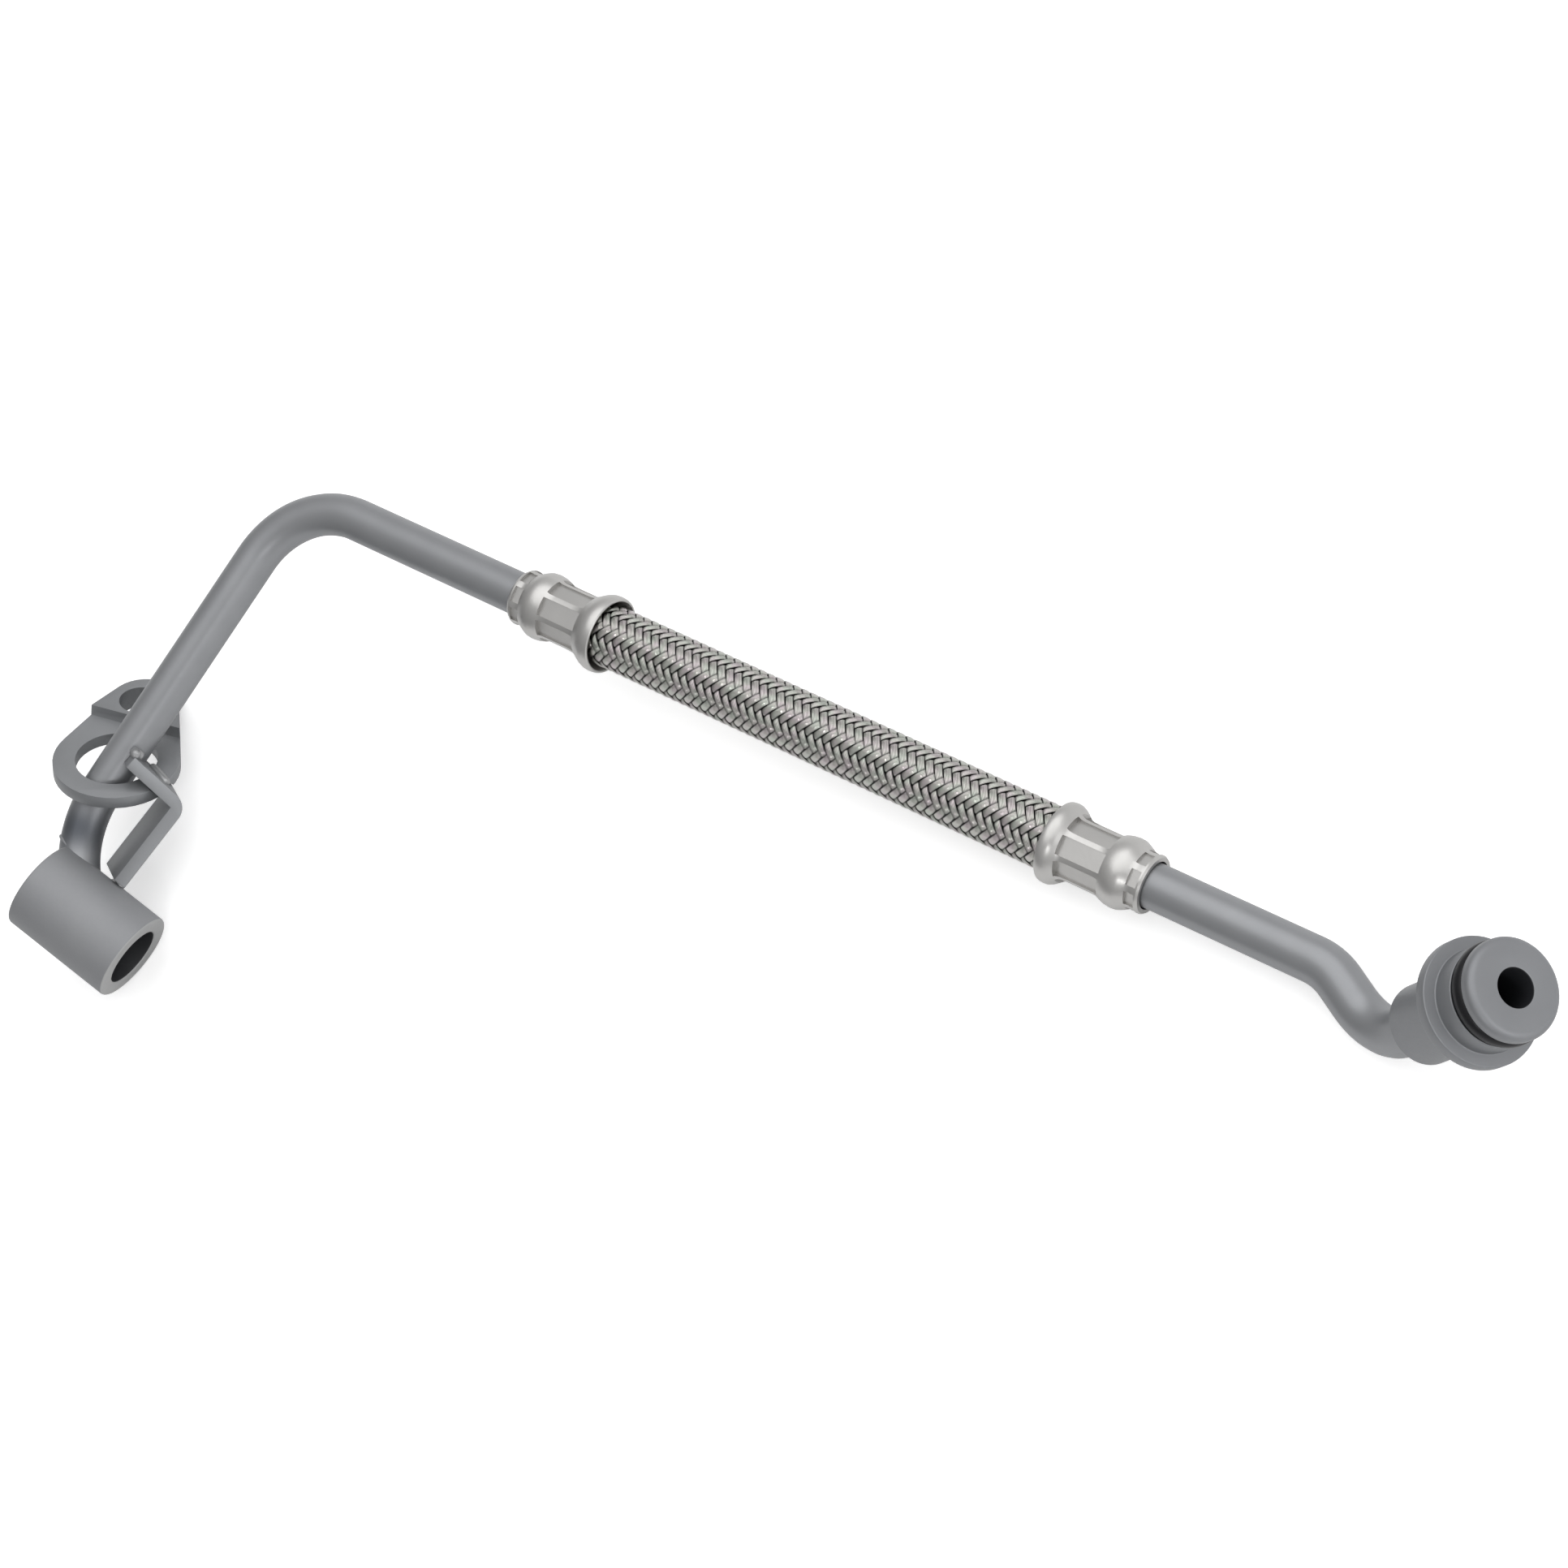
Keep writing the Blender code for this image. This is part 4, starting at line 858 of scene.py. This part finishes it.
def braid_wire():
    """Bright wire: its map rules each band into wires, and painted shade darkens its sides,
    the valleys between wires and the parts that dive under the other hand."""
    material = bpy.data.materials.new("braid_wire")
    material.use_nodes = True
    tree = material.node_tree
    shader = tree.nodes["Principled BSDF"]
    shader.inputs["Metallic"].default_value = 1.0

    place = tree.nodes.new("ShaderNodeUVMap")
    split = tree.nodes.new("ShaderNodeSeparateXYZ")
    tree.links.new(place.outputs["UV"], split.inputs["Vector"])
    across = split.outputs["X"]
    wires = work_out(tree, "MULTIPLY", across, float(WIRES_IN_BAND))
    crown = ease(tree, work_out(tree, "PINGPONG", wires, 0.5), (0.0, 0.5), (0.0, 1.0))
    from_edge = work_out(tree, "PINGPONG", across, 0.5)
    edge_shade = ease(tree, from_edge, (0.0, EDGE_SHADE_WIDTH), (0.0, 1.0))
    height = tree.nodes.new("ShaderNodeAttribute")
    height.attribute_name = "height"
    tuck_shade = ease(tree, height.outputs["Fac"], TUCK_SHADE_SPAN, (0.0, 1.0))
    valley_shade = ease(tree, crown, (0.0, 1.0), (WIRE_VALLEY_SHADE, 1.0))
    # Painted shade: sides, tucked parts and wire valleys mix the colour towards near-black
    painted_shading = work_out(tree, "MULTIPLY", work_out(tree, "MULTIPLY", edge_shade, tuck_shade), valley_shade)

    grain = lay_grain(tree, WIRE_SPECKLE, WIRE_CLOUD)
    sheen = tree.nodes.new("ShaderNodeValToRGB")
    stops = sheen.color_ramp.elements
    stops.new(SHEEN[1][0])
    for stop, (position, colour) in zip(stops, SHEEN):
        stop.position = position
        stop.color = colour
    tint = tree.nodes.new("ShaderNodeMix")
    tint.data_type = "RGBA"
    tint.inputs["A"].default_value = TUCK_SHADE_COLOUR
    gloss = ease(tree, grain.outputs["Speckle"], WIRE_GLOSS_SPAN, WIRE_GLOSS)
    ruling = tree.nodes.new("ShaderNodeBump")
    ruling.inputs["Strength"].default_value = WIRE_RULING_STRENGTH
    ruling.inputs["Distance"].default_value = WIRE_RULING_DEPTH
    tree.links.new(grain.outputs["Cloud"], sheen.inputs["Fac"])
    tree.links.new(sheen.outputs["Color"], tint.inputs["B"])
    tree.links.new(painted_shading, tint.inputs["Factor"])
    tree.links.new(crown, ruling.inputs["Height"])
    tree.links.new(tint.outputs["Result"], shader.inputs["Base Color"])
    tree.links.new(gloss, shader.inputs["Roughness"])
    tree.links.new(ruling.outputs["Normal"], shader.inputs["Normal"])
    return material


def wind_band(name, index, hand):
    """One band: a flat strip wound on the hose, lifted and dipped where others cross it."""
    bpy.ops.object.select_all(action="DESELECT")
    length = HOSE_FREE_LENGTH + 2.0 * BRAID_TUCK
    steps = math.ceil(length / BAND_STEP)
    bpy.ops.mesh.primitive_grid_add(
        x_subdivisions=BAND_COLUMNS, y_subdivisions=steps, size=1.0
    )
    strip = bpy.context.object
    strip.name = name
    flat = np.empty(len(strip.data.vertices) * 3)
    strip.data.vertices.foreach_get("co", flat)
    flat = flat.reshape(-1, 3)

    slope = math.atan2(2.0 * math.pi * BRAID_MIDDLE_RADIUS, BRAID_LEAD)
    offset = flat[:, 0] * BAND_WIDTH
    along = (flat[:, 1] + 0.5) * length - BRAID_TUCK
    start = BRAID_START + (index if hand > 0 else index + 0.5) * band_pitch
    centre_turn = hand * 2.0 * math.pi * (along - start) / BRAID_LEAD
    turn = centre_turn + hand * offset * math.cos(slope) / BRAID_MIDDLE_RADIUS
    angle = turn + BRAID_START_TURN
    along = along - offset * math.sin(slope)

    # Which band of the other hand crosses here, and the wave that it asks for
    other = (along - BRAID_START + hand * BRAID_LEAD * turn / (2.0 * math.pi)) / band_pitch
    crossing = (other - 0.5) - index if hand > 0 else index - other
    swing = np.sin(math.pi * (crossing + 0.5) / 2.0)
    wave = np.tanh(WAVE_STEEPNESS * swing) / math.tanh(WAVE_STEEPNESS)
    crown = BAND_CROWN * (1.0 - (2.0 * flat[:, 0]) ** 2)
    inside = np.maximum(np.maximum(-along, along - HOSE_FREE_LENGTH), 0.0)
    radius = BRAID_MIDDLE_RADIUS + hand * wave * BRAID_LIFT + crown - TUCK_SLOPE * inside

    wound = np.stack([along, radius * np.cos(angle), radius * np.sin(angle)], axis=1)
    place = np.array(line_frame)
    wound = wound @ place[:3, :3].T + place[:3, 3]
    strip.data.vertices.foreach_set("co", wound.ravel())
    height = strip.data.attributes.new("height", "FLOAT", "POINT")
    height.data.foreach_set("value", 0.5 + 0.5 * hand * wave)
    return strip


def wind_hand(name, hand):
    """All the bands of one hand, joined and given their thickness."""
    layer = join_all(
        [wind_band(f"{name}_{index}", index, hand) for index in range(BANDS_EACH_WAY)]
    )
    layer.name = name
    bpy.ops.object.mode_set(mode="EDIT")
    bpy.ops.mesh.select_all(action="SELECT")
    bpy.ops.mesh.normals_make_consistent(inside=False)
    bpy.ops.object.mode_set(mode="OBJECT")
    wall = layer.modifiers.new("wall", "SOLIDIFY")
    wall.thickness = BAND_THICKNESS
    wall.offset = 0.0
    apply_all(layer)
    bpy.ops.object.shade_smooth_by_angle(angle=BAND_SHARP_ANGLE)
    return layer


braid_metal = braid_wire()
right_hand_bands = wind_hand("right_hand_bands", 1)
dress(right_hand_bands, braid_metal, "braid_wire", "hose_braid")
left_hand_bands = wind_hand("left_hand_bands", -1)
dress(left_hand_bands, braid_metal, "braid_wire")


# Right tube: the same tube on the other side of the hose, bent in a short S so that it
# comes up into the back of the plug.
RIGHT_STRAIGHT = 0.05264
RIGHT_LEG = Vector((0.01281, -0.00734, -0.00147))
RIGHT_PLUG_LEG = 0.0133
RIGHT_FIRST_BEND_RADIUS = 0.011
RIGHT_SECOND_BEND_RADIUS = 0.0105
PLUG_AXIS = Vector((0.6153, 0.3553, 0.7037)).normalized()
TUBE_SOCKET = 0.0060

right_shoulder = HOSE_FREE_LENGTH + RIGHT_FLARE + TUBE_FROM_WAIST
right_start = Vector((right_shoulder - TUBE_PAST_SHOULDER, 0.0, 0.0))
first_bend = Vector((HOSE_FREE_LENGTH + RIGHT_STRAIGHT, 0.0, 0.0))
second_bend = first_bend + RIGHT_LEG
neck_end = second_bend + PLUG_AXIS * RIGHT_PLUG_LEG
socket_floor = neck_end + PLUG_AXIS * TUBE_SOCKET
right_path = bent_path(
    [right_start, first_bend, second_bend, socket_floor],
    [RIGHT_FIRST_BEND_RADIUS, RIGHT_SECOND_BEND_RADIUS],
)
right_pipe = draw_tube("right_pipe", right_path)
settle_mesh(right_pipe)
dress(right_pipe, tube_plating, "coated_steel", "right_tube")


# Plug: turned push-in end. A land, a groove for the rubber ring, a second land and a
# flange that seats on the housing, then a neck that the tube is brazed into.
PLUG_LENGTH = 0.02596
PLUG_BORE = 0.0031
PLUG_EDGE = 0.00022
LAND_RADIUS = 0.00815
NOSE_RADIUS = 0.0068
NOSE_LENGTH = 0.0013
NOSE_STEPS = 8
GROOVE_START = 0.0023
GROOVE_END = 0.0054
GROOVE_RADIUS = 0.0061
GROOVE_LIP = 0.0003
FLANGE_RADIUS = 0.0103
FLANGE_START = 0.0094
FLANGE_END = 0.0116
NECK_RADIUS = 0.0065

plug_face = line_frame @ (neck_end + PLUG_AXIS * PLUG_LENGTH)
plug_back = line_turn @ -PLUG_AXIS
plug_plating = grained_finish(
    "plug_plating", dark=(0.205, 0.211, 0.222), pale=(0.238, 0.244, 0.255),
    smooth=0.40, rough=0.52, metallic=0.60, speckle=2000.0, bump=0.35,
)


def plug_outline():
    """The plug from its bore's mouth over the rounded nose and back to the socket's floor."""
    outline = [(0.0, PLUG_BORE)]
    for step in range(NOSE_STEPS + 1):
        swing = math.pi / 2.0 * step / NOSE_STEPS
        back = NOSE_LENGTH * (1.0 - math.cos(swing))
        outline.append((back, NOSE_RADIUS + (LAND_RADIUS - NOSE_RADIUS) * math.sin(swing)))
    socket = TUBE_RADIUS + SOCKET_CLEARANCE
    return outline + [
        (GROOVE_START, LAND_RADIUS), (GROOVE_START, GROOVE_RADIUS),
        (GROOVE_END, GROOVE_RADIUS), (GROOVE_END, LAND_RADIUS),
        (FLANGE_START, LAND_RADIUS), (FLANGE_START, FLANGE_RADIUS),
        (FLANGE_END, FLANGE_RADIUS), (FLANGE_END, NECK_RADIUS),
        (PLUG_LENGTH, NECK_RADIUS), (PLUG_LENGTH, socket),
        (PLUG_LENGTH - TUBE_SOCKET, socket), (PLUG_LENGTH - TUBE_SOCKET, PLUG_BORE),
    ]


push_in_plug = turn_piece("push_in_plug", plug_face, plug_back, plug_outline())
soften(push_in_plug, PLUG_EDGE, angle=30.0)
settle_mesh(push_in_plug)
dress(push_in_plug, plug_plating, "coated_steel", "plug_fitting")
# Painted shade inside the plug's bore and in the rubber ring's groove
paint_shade_inside(push_in_plug, plug_face, plug_back, PLUG_BORE + SHADE_MARGIN, 0.0, PLUG_LENGTH)
paint_shade_inside(
    push_in_plug, plug_face, plug_back, LAND_RADIUS - GROOVE_LIP,
    GROOVE_START - SHADE_MARGIN, GROOVE_END + SHADE_MARGIN,
)


# Rubber ring: moulded black seal, a little wider than round, that lies in the plug's
# groove and stands proud of its lands.
RING_CORD_RADIUS = 0.00108
RING_CORD_SIDES = 24
RING_SQUASH = 1.32
RING_LIFT = 0.0001
RUBBER_SHINE = 0.25

seal_rubber = grained_finish(
    "seal_rubber", dark=(0.004, 0.004, 0.005), pale=(0.009, 0.009, 0.011),
    smooth=0.26, rough=0.40, metallic=0.0, speckle=3000.0, bump=0.0, cloud=300.0,
)
rubber_shader = seal_rubber.node_tree.nodes["Principled BSDF"]
rubber_shader.inputs["Specular IOR Level"].default_value = RUBBER_SHINE

bpy.ops.object.select_all(action="DESELECT")
bpy.ops.mesh.primitive_torus_add(
    major_radius=GROOVE_RADIUS + RING_CORD_RADIUS + RING_LIFT, minor_radius=RING_CORD_RADIUS,
    major_segments=TURNED_SIDES, minor_segments=RING_CORD_SIDES,
    location=plug_face + plug_back * (GROOVE_START + GROOVE_END) / 2.0,
    rotation=facing(plug_back),
)
rubber_ring = bpy.context.object
rubber_ring.scale.z = RING_SQUASH
rubber_ring.name = "rubber_ring"
settle_mesh(rubber_ring, sharp_angle=60.0)
dress(rubber_ring, seal_rubber, "seal_rubber", "plug_o_ring")


# Inner pieces: the rubber liner that shows dark through the braid, the barbed nipples
# under the ferrules and the braze at the plug keep their CAD shapes.
liner_rubber = seal_rubber.copy()
liner_rubber.name = "liner_rubber"
braze_metal = grained_finish(
    "braze_metal", dark=(0.36, 0.355, 0.34), pale=(0.46, 0.45, 0.43),
    smooth=0.34, rough=0.50, metallic=0.9, speckle=1800.0, bump=0.5,
)
INNER_FINISHES = {
    "hose_liner": liner_rubber,
    "left_nipple": stainless_shell,
    "right_nipple": stainless_shell,
    "plug_tube_braze": braze_metal,
}
for node, finish in INNER_FINISHES.items():
    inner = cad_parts[node]
    inner.data.materials.clear()
    inner.data.materials.append(finish)
